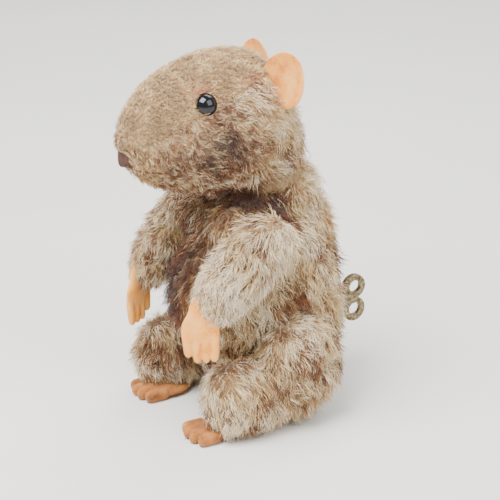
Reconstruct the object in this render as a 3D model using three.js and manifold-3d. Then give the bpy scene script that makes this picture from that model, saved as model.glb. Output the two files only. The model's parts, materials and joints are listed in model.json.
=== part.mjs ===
// Clockwork mouse: a seated plush mouse with a spring movement that nods its head.
// Millimetres, +Z up, the mouse faces -Y and its left side is +X. The origin is on the
// surface it sits on, below the middle of its overall box.
import * as THREE from 'three';
import * as BufferGeometryUtils from 'three/addons/utils/BufferGeometryUtils.js';
import Module from 'manifold-3d';

const wasm = await Module();
wasm.setup();

// ---- Driving dimensions -------------------------------------------------------------

const GAP = 0.3; // between pieces that touch
const FINE = 24; // sides of large round forms
const COARSE = 16; // sides of small round pieces

// Plush outer forms, measured to the mean surface of the pile.
// Torso sections: height, middle in Y, half width, half depth.
const TORSO_BOTTOM = -5;
const TORSO_TOP = 63.5;
const TORSO_TILT = 0.2; // the shoulders rise towards the back
const BELLY_REACH = 8; // how far the belly stands out of the torso's oval
const BELLY_Z = 36;
const BELLY_HALF_HEIGHT = 30;
const TORSO_SECTIONS = [
  [-5, 7, 19, 15],
  [8, 7.2, 21.3, 18],
  [18, 7.6, 22, 20.4],
  [28, 7.3, 21.8, 21.5],
  [38, 6.3, 20.2, 21.3],
  [48, 5.6, 18, 20.5],
  [56, 5.2, 16.6, 19.4],
  [62, 5.2, 15.6, 18.4],
];

// Head sections: place in Y, top, bottom, half width.
const HEAD_SECTIONS = [
  [-38.6, 88.6, 75.8, 5.2],
  [-35, 93.8, 71.8, 9],
  [-29, 98.4, 68.6, 12.2],
  [-21, 102.2, 66.2, 15],
  [-12, 104.5, 64.4, 16.8],
  [-4, 104.9, 63.8, 17.6],
  [3, 103, 64.2, 17],
  [9, 98.2, 65, 15.2],
  [14, 89, 66.4, 12.2],
  [17.2, 81, 68, 8.6],
];

// Neck: a ball on the torso that a socket in the head turns on.
const NECK_Y = 3.5;
const NECK_Z = 66;
const NECK_RADIUS = 11.4;
const SOCKET_RADIUS = 12;

// Limbs. A place on the right is the mirror image of the left one unless it has its own.
const SHOULDER = new THREE.Vector3(20, -6, 55);
const WRISTS = { left: new THREE.Vector3(18, -25, 41.6), right: new THREE.Vector3(-19, -25.8, 38.8) };
const ARM_INNER_X = 14.6;
const SHOULDER_RECESS_X = 14.2;
const SHOULDER_RECESS_RADIUS = 10;
const THIGH_CENTRE = [20.4, 4.2, 17.2];
const THIGH_HALF = [7.8, 15, 16.5];
const SHIN_CENTRES = { left: [18, -9.5, 11], right: [-19.6, -11.6, 11] };
const SHIN_HALF = [7.8, 16, 13];
const LEG_INNER_X = 14.2;
const FOOT_X = 15.8;
const FOOT_THICKNESS = 3;
const HAND_THICKNESS = 2.2;

// Movement: two plates with arbors along Y between them.
const PLATE_HALF_WIDTH = 11;
const PLATE_LOW = 11;
const PLATE_HIGH = 45;
const PLATE_THICKNESS = 1;
const FRONT_PLATE_Y = 0; // front face of the front plate
const BACK_PLATE_Y = 15; // front face of the back plate
const GEAR_MODULE = 0.6;
const GREAT_TEETH = 30;
const SECOND_TEETH = 20;
const PINION_TEETH = 8;
const KEY_AXIS = { x: 0, z: 24 };
const CRANK_AXIS = { x: 0, z: 24 + GEAR_MODULE * (GREAT_TEETH + PINION_TEETH) / 2 };
const FLY_ANGLE = 142; // degrees round the crank arbor
const FLY_DISTANCE = GEAR_MODULE * (SECOND_TEETH + PINION_TEETH) / 2;
const FLY_AXIS = {
  x: CRANK_AXIS.x + FLY_DISTANCE * Math.cos(THREE.MathUtils.degToRad(FLY_ANGLE)),
  z: CRANK_AXIS.z + FLY_DISTANCE * Math.sin(THREE.MathUtils.degToRad(FLY_ANGLE)),
};
const WINDING_ARBOR_RADIUS = 1.4;
const ARBOR_RADIUS = 0.9;
const PILLARS = [[9.2, 13], [-9.2, 13], [-9.2, 31.5], [9.2, 42.5]];
const PILLAR_RADIUS = 1.2;
const CASE_WALL = 0.6;
const CASE_BOX = { x: 12.6, yLow: -6.6, yHigh: 17.6, zLow: 9.4, zHigh: 46.6 };
const KEY_BACK = 39.4; // how far back the winding key reaches

// Nod linkage: the crank's link pulls on the front end of the head lever.
const CRANK_THROW = 3;
const LINK_X = 1.6;
const LINK_Y = -4;
const LEVER_HALF = 0.6;
const NECK_SLOT = { x: 3.6, yLow: -5.6, yHigh: 9.5 };

// ---- Materials ----------------------------------------------------------------------

const material = (color, roughness, metalness = 0) =>
  new THREE.MeshStandardMaterial({ color, roughness, metalness });
const MOHAIR = material(0xb59a72, 0.95);
const CLIPPED_PLUSH = material(0xb8a283, 0.95);
const FELT = material(0xd19a5b, 0.95);
const GLASS = material(0x0b0c10, 0.05);
const THREAD = material(0x4b2a17, 0.8);
const STEEL = material(0x8d8a84, 0.45, 1);
const BRASS = material(0xb08d4a, 0.4, 1);
const BLUED_STEEL = material(0x3c4350, 0.35, 1);
const TINPLATE = material(0xa9a69c, 0.5, 1);
const CARDBOARD = material(0x9a7d58, 0.9);
const AGED_STEEL = material(0x77684f, 0.5, 1);

const mouse = new THREE.Group();
mouse.name = 'clockwork_mouse';

// ---- Helpers ------------------------------------------------------------------------

// A closed geometry as a manifold solid.
function solid(geometry) {
  const bare = geometry.clone();
  bare.deleteAttribute('normal');
  bare.deleteAttribute('uv');
  const merged = BufferGeometryUtils.mergeVertices(bare, 1e-4);
  return new wasm.Manifold(new wasm.Mesh({
    numProp: 3,
    vertProperties: new Float32Array(merged.attributes.position.array),
    triVerts: new Uint32Array(merged.index.array),
  }));
}

// A manifold solid as a geometry.
function geometryOf(shape) {
  const mesh = shape.getMesh();
  const geometry = new THREE.BufferGeometry();
  geometry.setAttribute('position', new THREE.BufferAttribute(mesh.vertProperties, 3));
  geometry.setIndex(new THREE.BufferAttribute(mesh.triVerts, 1));
  geometry.computeVertexNormals();
  return geometry;
}

function add(name, shape, finish, parent = mouse) {
  const geometry = shape.isBufferGeometry ? shape : geometryOf(shape);
  const mesh = new THREE.Mesh(geometry, finish);
  mesh.name = name;
  parent.add(mesh);
  return mesh;
}

// A cylinder along an axis ('x', 'y' or 'z') from one place on it to another.
function rod(axis, radius, from, to, { x = 0, y = 0, z = 0 } = {}, sides = COARSE) {
  const geometry = new THREE.CylinderGeometry(radius, radius, to - from, sides);
  if (axis === 'x') geometry.rotateZ(-Math.PI / 2);
  if (axis === 'z') geometry.rotateX(Math.PI / 2);
  const middle = (from + to) / 2;
  const place = { x, y, z, [axis]: middle };
  return geometry.translate(place.x, place.y, place.z);
}

// A box between two corners.
function box(x0, x1, y0, y1, z0, z1) {
  return new THREE.BoxGeometry(x1 - x0, y1 - y0, z1 - z0)
    .translate((x0 + x1) / 2, (y0 + y1) / 2, (z0 + z1) / 2);
}

// An outline drawn in X and Z, given thickness along +Y from y.
function plateAlongY(shape, y, thickness) {
  return new THREE.ExtrudeGeometry(shape, { depth: thickness, bevelEnabled: false, curveSegments: 5 })
    .rotateX(Math.PI / 2)
    .translate(0, y + thickness, 0);
}

// A shaped ball can come out inside out: then the corners of each triangle are swapped.
function outwards(geometry) {
  const index = geometry.index.array;
  const corner = (i) => new THREE.Vector3().fromBufferAttribute(geometry.attributes.position, index[i]);
  let volume = 0;
  for (let i = 0; i < index.length; i += 3) {
    volume += corner(i).dot(corner(i + 1).cross(corner(i + 2)));
  }
  for (let i = 0; volume < 0 && i < index.length; i += 3) {
    [index[i], index[i + 1]] = [index[i + 1], index[i]];
  }
  return geometry;
}

// A ball whose rings follow sections along an axis. Each row of the table starts with a
// place on the axis; ring(place, row, angle) gives a point of the ring there.
function form(from, to, sections, ring, around = FINE, along = 18, bluntness = 5) {
  const places = sections.map((row) => row[0]);
  const values = sections.flatMap((row) => row.slice(1));
  const size = sections[0].length - 1;
  const curve = new THREE.CubicInterpolant(places, values, size);
  const geometry = new THREE.SphereGeometry(1, around, along);
  const position = geometry.attributes.position;
  for (let i = 0; i < position.count; i += 1) {
    const share = (1 - position.getY(i)) / 2;
    const round = Math.sqrt(Math.max(0, 1 - Math.abs(2 * share - 1) ** bluntness));
    const angle = Math.atan2(position.getZ(i), position.getX(i));
    const place = THREE.MathUtils.lerp(from, to, share);
    const row = Array.from(curve.evaluate(THREE.MathUtils.clamp(place, places[0], places.at(-1))));
    const onAxis = Math.abs(position.getY(i)) > 0.999999;
    const point = ring(place, row, angle, onAxis ? 0 : round);
    position.setXYZ(i, point[0], point[1], point[2]);
  }
  return outwards(geometry);
}

function ellipsoid(centre, half, grow = 0, around = 18, along = 12) {
  return new THREE.SphereGeometry(1, around, along)
    .scale(half[0] + grow, half[1] + grow, half[2] + grow)
    .translate(centre[0], centre[1], centre[2]);
}

// Everything below the surface the mouse sits on is pressed flat.
function pressFlat(geometry) {
  const position = geometry.attributes.position;
  for (let i = 0; i < position.count; i += 1) {
    position.setZ(i, Math.max(0, position.getZ(i)));
  }
  return geometry;
}

// ---- Plush body, legs and feet ------------------------------------------------------

function torsoForm() {
  const ring = (z, [middle, halfWidth, halfDepth], angle, round) => {
    const back = round * halfDepth * Math.sin(angle);
    const tilt = TORSO_TILT * THREE.MathUtils.smoothstep(z, TORSO_TOP - 20, TORSO_TOP);
    const level = Math.min(1, Math.abs(z - BELLY_Z) / BELLY_HALF_HEIGHT);
    const belly = BELLY_REACH * Math.cos(level * Math.PI / 2) ** 2 * Math.max(0, -Math.sin(angle)) ** 3;
    return [round * halfWidth * Math.cos(angle), middle + back - belly, Math.max(0, z + tilt * back)];
  };
  return form(TORSO_BOTTOM, TORSO_TOP, TORSO_SECTIONS, ring, FINE, 18, 8);
}

// A leg is a thigh and a shin in one stuffed piece, pressed flat where it rests.
function legForm(side, grow = 0) {
  const thigh = [side * THIGH_CENTRE[0], THIGH_CENTRE[1], THIGH_CENTRE[2]];
  const shin = SHIN_CENTRES[side > 0 ? 'left' : 'right'];
  const below = solid(box(-60, 60, -60, 60, -40, 0));
  const inside = LEG_INNER_X - grow;
  const movementSide = solid(box(-inside, inside, -9 + grow, 60, -1, 60));
  return solid(ellipsoid(thigh, THIGH_HALF, grow))
    .add(solid(ellipsoid(shin, SHIN_HALF, grow)))
    .subtract(below)
    .subtract(movementSide);
}

// Round toes along the front of a rounded sole, or fingers on a palm: an outline with its
// heel at the origin and its digits towards +Y.
function pawOutline({ length, width, heel, digits, digitRadius, spread }) {
  const shape = new THREE.Shape();
  const half = width / 2;
  const knuckle = length * 0.62;
  shape.moveTo(-half * heel, 0);
  shape.quadraticCurveTo(-half, length * 0.25, -half, knuckle);
  for (let i = 0; i < digits; i += 1) {
    const t = digits === 1 ? 0.5 : i / (digits - 1);
    const x = THREE.MathUtils.lerp(-half + digitRadius, half - digitRadius, t);
    const lean = THREE.MathUtils.degToRad(THREE.MathUtils.lerp(spread, -spread, t));
    const reach = length - digitRadius - knuckle - 0.9 * Math.abs(t - 0.5) * digitRadius;
    const tipX = x - Math.sin(lean) * reach;
    const tipY = knuckle + Math.cos(lean) * reach;
    shape.lineTo(x - digitRadius * 0.82, knuckle);
    shape.absarc(tipX, tipY, digitRadius * 0.9, Math.PI + lean, lean, true);
    shape.lineTo(x + digitRadius * 0.82, knuckle);
  }
  shape.quadraticCurveTo(half, length * 0.25, half * heel, 0);
  shape.closePath();
  return shape;
}

function feltPaw(outline, thickness) {
  return new THREE.ExtrudeGeometry(outline, { depth: thickness, bevelEnabled: false, curveSegments: 4 });
}

const FOOT_LENGTH = 18;
const footOutline = pawOutline({
  length: FOOT_LENGTH, width: 13, heel: 0.55, digits: 4, digitRadius: 1.65, spread: 10,
});
const FOOT_HEEL_Y = -10.5;

// A recess under the shin that the felt foot lies in.
function footRecess(side) {
  return solid(box(
    side * FOOT_X - 7.2, side * FOOT_X + 7.2,
    FOOT_HEEL_Y - FOOT_LENGTH - 2, FOOT_HEEL_Y + GAP, -1, FOOT_THICKNESS + GAP,
  ));
}

// ---- Shoulder joints: a disc in the body, a disc in the arm, a pin through both -----

const DISC_RADIUS = 4.5;
const DISC_THICKNESS = 1.2;
const PIN_RADIUS = 0.8;
const BODY_DISC_X = 9.2;
const ARM_DISC_X = 16.8;
const PIN_HEAD_X = 7.6;
const PIN_END_X = 20;

// The space that a disc, the pin and the pin's head need, for one side.
function shoulderSpace(side) {
  const { y, z } = SHOULDER;
  const along = (from, to, radius) => solid(
    rod('x', radius, Math.min(side * from, side * to), Math.max(side * from, side * to), { y, z }),
  );
  return {
    body: along(PIN_HEAD_X - GAP, BODY_DISC_X + DISC_THICKNESS + GAP, DISC_RADIUS + GAP)
      .add(along(BODY_DISC_X, 30, PIN_RADIUS + GAP)),
    arm: along(ARM_DISC_X - GAP, ARM_DISC_X + DISC_THICKNESS + GAP, DISC_RADIUS + GAP)
      .add(along(0, PIN_END_X + GAP, PIN_RADIUS + GAP)),
    recess: along(SHOULDER_RECESS_X, 40, SHOULDER_RECESS_RADIUS),
  };
}

function addShoulderJoint(side, name) {
  const { y, z } = SHOULDER;
  const disc = (x) => solid(rod('x', DISC_RADIUS, x, x + DISC_THICKNESS, { y, z }))
    .subtract(solid(rod('x', PIN_RADIUS + GAP, x - 1, x + DISC_THICKNESS + 1, { y, z })));
  const toSide = (x) => (side > 0 ? x : -x - DISC_THICKNESS);
  add(`shoulder_disc_body_${name}`, disc(toSide(BODY_DISC_X)), CARDBOARD);
  add(`shoulder_disc_arm_${name}`, disc(toSide(ARM_DISC_X)), CARDBOARD);
  const shank = new THREE.LatheGeometry([
    [0, PIN_HEAD_X], [1.6, PIN_HEAD_X], [1.6, PIN_HEAD_X + 0.9], [PIN_RADIUS, PIN_HEAD_X + 0.9],
    [PIN_RADIUS, PIN_END_X], [0, PIN_END_X],
  ].map(([radius, along]) => new THREE.Vector2(radius, along)), COARSE);
  shank.rotateZ(-Math.PI / 2);
  if (side < 0) shank.rotateZ(Math.PI);
  add(`shoulder_pin_${name}`, shank.translate(0, y, z), STEEL);
}

// ---- Body ---------------------------------------------------------------------------

const caseSpace = solid(box(
  -CASE_BOX.x - GAP, CASE_BOX.x + GAP,
  CASE_BOX.yLow - GAP, CASE_BOX.yHigh + GAP,
  CASE_BOX.zLow - GAP, CASE_BOX.zHigh + GAP,
));
const neckSlot = solid(box(
  -NECK_SLOT.x, NECK_SLOT.x, NECK_SLOT.yLow, NECK_SLOT.yHigh, CASE_BOX.zHigh - 1, NECK_Z + 20,
));
const keyTunnel = solid(rod('y', 3.2, CASE_BOX.yHigh - 1, 50, KEY_AXIS));

let body = solid(torsoForm())
  .add(solid(ellipsoid([0, NECK_Y, NECK_Z], [NECK_RADIUS, NECK_RADIUS, NECK_RADIUS], 0, 22, 14)))
  .subtract(caseSpace)
  .subtract(neckSlot)
  .subtract(keyTunnel);
for (const side of [1, -1]) {
  const space = shoulderSpace(side);
  body = body.subtract(space.body).subtract(space.recess).subtract(legForm(side, GAP));
}
add('body_plush', body, MOHAIR);

for (const [side, name] of [[1, 'left'], [-1, 'right']]) {
  add(`leg_${name}`, legForm(side).subtract(footRecess(side)), MOHAIR);
  const foot = feltPaw(footOutline, FOOT_THICKNESS).rotateZ(Math.PI);
  add(`foot_${name}`, foot, FELT).position.set(side * FOOT_X, FOOT_HEEL_Y, 0);
}

// ---- Arms and hands -----------------------------------------------------------------

const ARM_OVERRUN = 8; // how far the stuffed arm reaches above the shoulder's axis
const ARM_PAST_WRIST = 2.5; // how far the sleeve's round end reaches past the hand's heel

// Share of the way to the wrist, half width, half depth, sag below the line to the wrist.
const ARM_SECTIONS = [
  [-0.33, 6, 8, 0],
  [0, 6.3, 8.8, 0],
  [0.4, 6.4, 8.8, 0.6],
  [0.75, 6.2, 8.2, 1.5],
  [1.1, 5.6, 7, 1.8],
];

function armForm(side, wrist, handSlot) {
  const shoulder = new THREE.Vector3(side * SHOULDER.x, SHOULDER.y, SHOULDER.z);
  const along = wrist.clone().sub(shoulder);
  const length = along.length();
  const sections = ARM_SECTIONS.map(([share, ...sizes]) => [share * length, ...sizes]);
  const ring = (z, [halfWidth, halfDepth, sag], angle, round) => [
    round * halfWidth * Math.cos(angle), round * halfDepth * Math.sin(angle) - sag, z,
  ];
  const turn = new THREE.Quaternion().setFromUnitVectors(new THREE.Vector3(0, 0, 1), along.normalize());
  const geometry = form(-ARM_OVERRUN, length + ARM_PAST_WRIST, sections, ring, 16, 12, 4)
    .applyQuaternion(turn)
    .translate(shoulder.x, shoulder.y, shoulder.z);
  const innerEdges = side > 0 ? [-10, ARM_INNER_X] : [-ARM_INNER_X, 10];
  const inside = box(...innerEdges, -60, 60, 0, 90);
  const upper = solid(box(-60, 60, SHOULDER.y - 12, SHOULDER.y + 12, SHOULDER.z - 12, SHOULDER.z + 12));
  return solid(geometry)
    .subtract(solid(inside).intersect(upper))
    .subtract(shoulderSpace(side).arm)
    .subtract(handSlot);
}

const HAND_WIDTH = 11.2;
const handOutline = pawOutline({
  length: 17.4, width: HAND_WIDTH, heel: 0.3, digits: 4, digitRadius: 1.4, spread: 8,
});
const HAND_TURN = THREE.MathUtils.degToRad(58);
const HAND_LEAN = { left: 0, right: THREE.MathUtils.degToRad(5) }; // fingertips swing inwards

for (const [side, name] of [[1, 'left'], [-1, 'right']]) {
  const wrist = new THREE.Group();
  wrist.position.copy(WRISTS[name]);
  wrist.rotation.set(HAND_LEAN[name], -side * 0.1, side * HAND_TURN, 'ZXY');
  wrist.updateMatrix();
  const hand = feltPaw(handOutline, HAND_THICKNESS)
    .rotateX(-Math.PI / 2)
    .translate(0, -HAND_THICKNESS / 2, 0);
  add(`hand_${name}`, hand, FELT, wrist);
  mouse.add(wrist);
  const slotHalf = HAND_WIDTH / 2 + GAP;
  const slotDepth = HAND_THICKNESS / 2 + GAP;
  const slot = box(-slotHalf, slotHalf, -slotDepth, slotDepth, -20, GAP).applyMatrix4(wrist.matrix);
  add(`arm_${name}`, armForm(side, WRISTS[name], solid(slot)), MOHAIR);
  addShoulderJoint(side, name);
}

// ---- Head ---------------------------------------------------------------------------

const HEAD_FRONT = HEAD_SECTIONS[0][0];
const HEAD_BACK = HEAD_SECTIONS.at(-1)[0];
const EYE = { x: 11, y: -18.8, z: 93, radius: 3 };
const EAR = { halfWidth: 6.8, halfHeight: 7.6, halfThickness: 0.9, cup: 2.2 };
const EAR_PLACES = { left: [13.4, 5, 97], right: [-11.8, 9.4, 95.6] };
const EAR_TURNS = { left: 0.32, right: 0.12 }; // radians about Z
const NOSE = { centre: [0, -37.4, 79.4], half: [3.6, 2.4, 3.4] };

function headForm() {
  const ring = (y, [top, bottom, halfWidth], angle, round) => [
    round * halfWidth * Math.cos(angle),
    y,
    (top + bottom) / 2 + round * ((top - bottom) / 2) * Math.sin(angle),
  ];
  return form(HEAD_FRONT, HEAD_BACK, HEAD_SECTIONS, ring, FINE, 20, 7);
}

// A round felt ear, cupped towards the front. The right one sits lower and further back, and
// faces more to the left.
function earForm(side, grow = 0) {
  const geometry = new THREE.SphereGeometry(1, 16, 8);
  const position = geometry.attributes.position;
  for (let i = 0; i < position.count; i += 1) {
    const x = position.getX(i);
    const z = position.getZ(i);
    const cup = -EAR.cup * (x * x + 0.4 * z * z);
    position.setXYZ(
      i, x * (EAR.halfWidth + grow),
      position.getY(i) * (EAR.halfThickness + grow) + cup,
      z * (EAR.halfHeight + grow),
    );
  }
  const name = side > 0 ? 'left' : 'right';
  const place = EAR_PLACES[name];
  return geometry.rotateY(side * 0.35).rotateZ(EAR_TURNS[name]).translate(place[0], place[1], place[2]);
}

const PRONG_TOP = 84.5; // the head lever's prong, inside the head's stuffing
const prongSpace = solid(box(
  -LEVER_HALF - GAP, LEVER_HALF + GAP, NECK_Y - 1.1 - GAP, NECK_Y + 1.1 + GAP,
  NECK_Z, PRONG_TOP + GAP,
));

let head = solid(headForm())
  .subtract(solid(ellipsoid([0, NECK_Y, NECK_Z], [SOCKET_RADIUS, SOCKET_RADIUS, SOCKET_RADIUS], 0, 22, 14)))
  .subtract(solid(rod('z', SOCKET_RADIUS, 50, NECK_Z, { y: NECK_Y }, 22)))
  .subtract(prongSpace)
  .subtract(solid(ellipsoid(NOSE.centre, NOSE.half, GAP, 12, 8)));
const eyeHalf = [EYE.radius, EYE.radius, EYE.radius];
for (const side of [1, -1]) {
  head = head
    .subtract(solid(ellipsoid([side * EYE.x, EYE.y, EYE.z], eyeHalf, GAP, 12, 8)))
    .subtract(solid(earForm(side, GAP)));
}
add('head_plush', head, CLIPPED_PLUSH);

for (const [side, name] of [[1, 'left'], [-1, 'right']]) {
  add(`ear_${name}`, earForm(side), FELT);
  const eye = new THREE.SphereGeometry(EYE.radius, COARSE, 8);
  add(`eye_${name}`, eye, GLASS).position.set(side * EYE.x, EYE.y, EYE.z);
}
add('nose_stitching', ellipsoid(NOSE.centre, NOSE.half, 0, 14, 8), THREAD);

// ---- Movement frame -----------------------------------------------------------------

// A movement plate with holes for the arbors and the pillars' ends.
function plate(y) {
  const shape = new THREE.Shape();
  shape.moveTo(-PLATE_HALF_WIDTH, PLATE_LOW);
  shape.lineTo(PLATE_HALF_WIDTH, PLATE_LOW);
  shape.lineTo(PLATE_HALF_WIDTH, PLATE_HIGH);
  shape.lineTo(-PLATE_HALF_WIDTH, PLATE_HIGH);
  shape.closePath();
  const holes = [
    [KEY_AXIS.x, KEY_AXIS.z, WINDING_ARBOR_RADIUS + GAP],
    [CRANK_AXIS.x, CRANK_AXIS.z, ARBOR_RADIUS + GAP],
    [FLY_AXIS.x, FLY_AXIS.z, ARBOR_RADIUS + GAP],
    ...PILLARS.map(([x, z]) => [x, z, 0.7 + GAP]),
  ];
  for (const [x, z, radius] of holes) {
    shape.holes.push(new THREE.Path().absarc(x, z, radius, 0, Math.PI * 2, true));
  }
  return plateAlongY(shape, y, PLATE_THICKNESS);
}
add('front_plate', plate(FRONT_PLATE_Y), TINPLATE);
add('back_plate', plate(BACK_PLATE_Y), TINPLATE);

// Each pillar has a thinner end through each plate, and a nut outside the front plate.
const PILLAR_PROFILE = [
  [0, -1.9], [0.7, -1.9], [0.7, 1 + GAP], [PILLAR_RADIUS, 1 + GAP],
  [PILLAR_RADIUS, BACK_PLATE_Y - GAP], [0.7, BACK_PLATE_Y - GAP],
  [0.7, BACK_PLATE_Y + PLATE_THICKNESS + 0.4], [0, BACK_PLATE_Y + PLATE_THICKNESS + 0.4],
];
const nutOutline = new THREE.Shape().absarc(0, 0, 1.9, 0, Math.PI * 2, false);
nutOutline.holes.push(new THREE.Path().absarc(0, 0, 0.7 + GAP, 0, Math.PI * 2, true));
PILLARS.forEach(([x, z], i) => {
  const profile = PILLAR_PROFILE.map(([radius, y]) => new THREE.Vector2(radius, y));
  add(`pillar_${i + 1}`, new THREE.LatheGeometry(profile, 10), STEEL).position.set(x, 0, z);
  const nut = new THREE.ExtrudeGeometry(nutOutline, { depth: 1, bevelEnabled: false, curveSegments: 3 });
  const placed = add(`pillar_nut_${i + 1}`, nut, BRASS);
  placed.rotation.x = Math.PI / 2;
  placed.position.set(x, -GAP, z);
});

// A tinplate case keeps the stuffing out of the movement.
const movementCase = solid(box(
  -CASE_BOX.x, CASE_BOX.x, CASE_BOX.yLow, CASE_BOX.yHigh, CASE_BOX.zLow, CASE_BOX.zHigh,
))
  .subtract(solid(box(
    -CASE_BOX.x + CASE_WALL, CASE_BOX.x - CASE_WALL,
    CASE_BOX.yLow + CASE_WALL, CASE_BOX.yHigh - CASE_WALL,
    CASE_BOX.zLow + CASE_WALL, CASE_BOX.zHigh - CASE_WALL,
  )))
  .subtract(solid(rod('y', 2.2, CASE_BOX.yHigh - 2, CASE_BOX.yHigh + 2, KEY_AXIS)))
  .subtract(solid(box(-3.2, 3.2, NECK_SLOT.yLow, -2.2, CASE_BOX.zHigh - 2, CASE_BOX.zHigh + 2)));
add('movement_case', movementCase, TINPLATE);

// The neck bracket carries the pin that the head lever turns on.
const CHEEK_IN = 2.2;
const CHEEK_OUT = 3;
const bracketFoot = CASE_BOX.zHigh + GAP;
let bracket = solid(box(-CHEEK_OUT, CHEEK_OUT, 0, 7, bracketFoot, bracketFoot + 1));
for (const [low, high] of [[CHEEK_IN, CHEEK_OUT], [-CHEEK_OUT, -CHEEK_IN]]) {
  bracket = bracket.add(solid(box(low, high, NECK_Y - 1.8, NECK_Y + 1.8, bracketFoot, NECK_Z + 1.8)));
}
bracket = bracket.subtract(solid(rod('x', PIN_RADIUS + GAP, -5, 5, { y: NECK_Y, z: NECK_Z })));
add('neck_bracket', bracket, STEEL);
add('neck_pin', rod('x', PIN_RADIUS, -3.4, 3.4, { y: NECK_Y, z: NECK_Z }, 12), STEEL);

// The head lever: an arm forward to the link, and a prong up into the head's stuffing.
let lever = solid(rod('x', 2, -LEVER_HALF, LEVER_HALF, { y: NECK_Y, z: NECK_Z }))
  .add(solid(box(-LEVER_HALF, LEVER_HALF, NECK_Y - 1.1, NECK_Y + 1.1, NECK_Z, PRONG_TOP)))
  .add(solid(box(-LEVER_HALF, LEVER_HALF, LINK_Y, NECK_Y, NECK_Z - 1.2, NECK_Z + 1.2)))
  .add(solid(rod('x', 1.4, -LEVER_HALF, LEVER_HALF, { y: LINK_Y, z: NECK_Z })));
lever = lever
  .subtract(solid(rod('x', PIN_RADIUS + GAP, -2, 2, { y: NECK_Y, z: NECK_Z })))
  .subtract(solid(rod('x', 0.8, -2, 2, { y: LINK_Y, z: NECK_Z })));
add('head_lever', lever, STEEL);

// The link: a wire with an eye at the crank and a hook through the lever's tip.
const LINK_RADIUS = 0.5;
const EYE_RADIUS = 1.6;
const crankPinZ = CRANK_AXIS.z + Math.sqrt(CRANK_THROW ** 2 - LINK_X ** 2);
const eye = new THREE.TorusGeometry(EYE_RADIUS, LINK_RADIUS, 6, 12)
  .rotateX(Math.PI / 2)
  .translate(LINK_X, LINK_Y, crankPinZ);
const wire = rod('z', LINK_RADIUS, crankPinZ + EYE_RADIUS, NECK_Z + 0.4, { x: LINK_X, y: LINK_Y }, 8);
const hook = rod('x', LINK_RADIUS, -1.3, LINK_X, { y: LINK_Y, z: NECK_Z }, 8);
add('nod_link', solid(eye).add(solid(wire)).add(solid(hook)), STEEL);

// ---- Gears and arbors ---------------------------------------------------------------

// A gear's outline with straight-sided teeth, thin enough to run with plenty of play.
function gearShape(teeth, bore, phase) {
  const pitch = GEAR_MODULE * teeth / 2;
  const tip = pitch + GEAR_MODULE * 0.8;
  const root = pitch - GEAR_MODULE * 1.2;
  const step = Math.PI * 2 / teeth;
  const shape = new THREE.Shape();
  for (let i = 0; i < teeth; i += 1) {
    const middle = phase + i * step;
    const corners = [[root, -0.28], [tip, -0.08], [tip, 0.08], [root, 0.28]];
    corners.forEach(([radius, share], k) => {
      const angle = middle + share * step;
      const method = i === 0 && k === 0 ? 'moveTo' : 'lineTo';
      shape[method](radius * Math.cos(angle), radius * Math.sin(angle));
    });
  }
  shape.closePath();
  shape.holes.push(new THREE.Path().absarc(0, 0, bore, 0, Math.PI * 2, true));
  return shape;
}

// Puts a flat piece on an arbor, from y on.
function onArbor(name, shape, y, thickness, axis, finish) {
  add(name, plateAlongY(shape, y, thickness), finish).position.set(axis.x, 0, axis.z);
}

const windingBore = WINDING_ARBOR_RADIUS + GAP;
const arborBore = ARBOR_RADIUS + GAP;
const upwards = Math.PI / 2;
const halfTooth = Math.PI / PINION_TEETH;
const flyDirection = THREE.MathUtils.degToRad(FLY_ANGLE);

const greatWheel = gearShape(GREAT_TEETH, windingBore, upwards);
const crankPinion = gearShape(PINION_TEETH, arborBore, -upwards + halfTooth);
const secondWheel = gearShape(SECOND_TEETH, arborBore, flyDirection);
const flyPinion = gearShape(PINION_TEETH, arborBore, flyDirection + Math.PI + halfTooth);
onArbor('great_wheel', greatWheel, 3, 1.5, KEY_AXIS, BRASS);
onArbor('crank_pinion', crankPinion, 2.4, 2.7, CRANK_AXIS, BRASS);
onArbor('second_wheel', secondWheel, 7.2, 1.2, CRANK_AXIS, BRASS);
onArbor('fly_pinion', flyPinion, 6.8, 2, FLY_AXIS, BRASS);

// The ratchet wheel on the winding arbor, with sawtooth teeth.
const RATCHET_TEETH = 14;
const ratchetShape = new THREE.Shape();
for (let i = 0; i < RATCHET_TEETH; i += 1) {
  const from = i * Math.PI * 2 / RATCHET_TEETH;
  const corners = [[3.4, from], [4.3, from + 0.04]];
  corners.forEach(([radius, angle], k) => {
    const method = i === 0 && k === 0 ? 'moveTo' : 'lineTo';
    ratchetShape[method](radius * Math.cos(angle), radius * Math.sin(angle));
  });
}
ratchetShape.closePath();
ratchetShape.holes.push(new THREE.Path().absarc(0, 0, windingBore, 0, Math.PI * 2, true));
onArbor('ratchet_wheel', ratchetShape, 4.8, 1.2, KEY_AXIS, STEEL);

// The click: a finger on the great wheel's face that drops into the ratchet's teeth.
const clickShape = new THREE.Shape();
clickShape.moveTo(6.2, -4.6);
clickShape.lineTo(7.8, -4.2);
clickShape.lineTo(6.4, -0.6);
clickShape.lineTo(4.75, 0.35);
clickShape.lineTo(4.85, -1.1);
clickShape.closePath();
onArbor('ratchet_click', clickShape, 4.8, 1, KEY_AXIS, STEEL);

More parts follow.
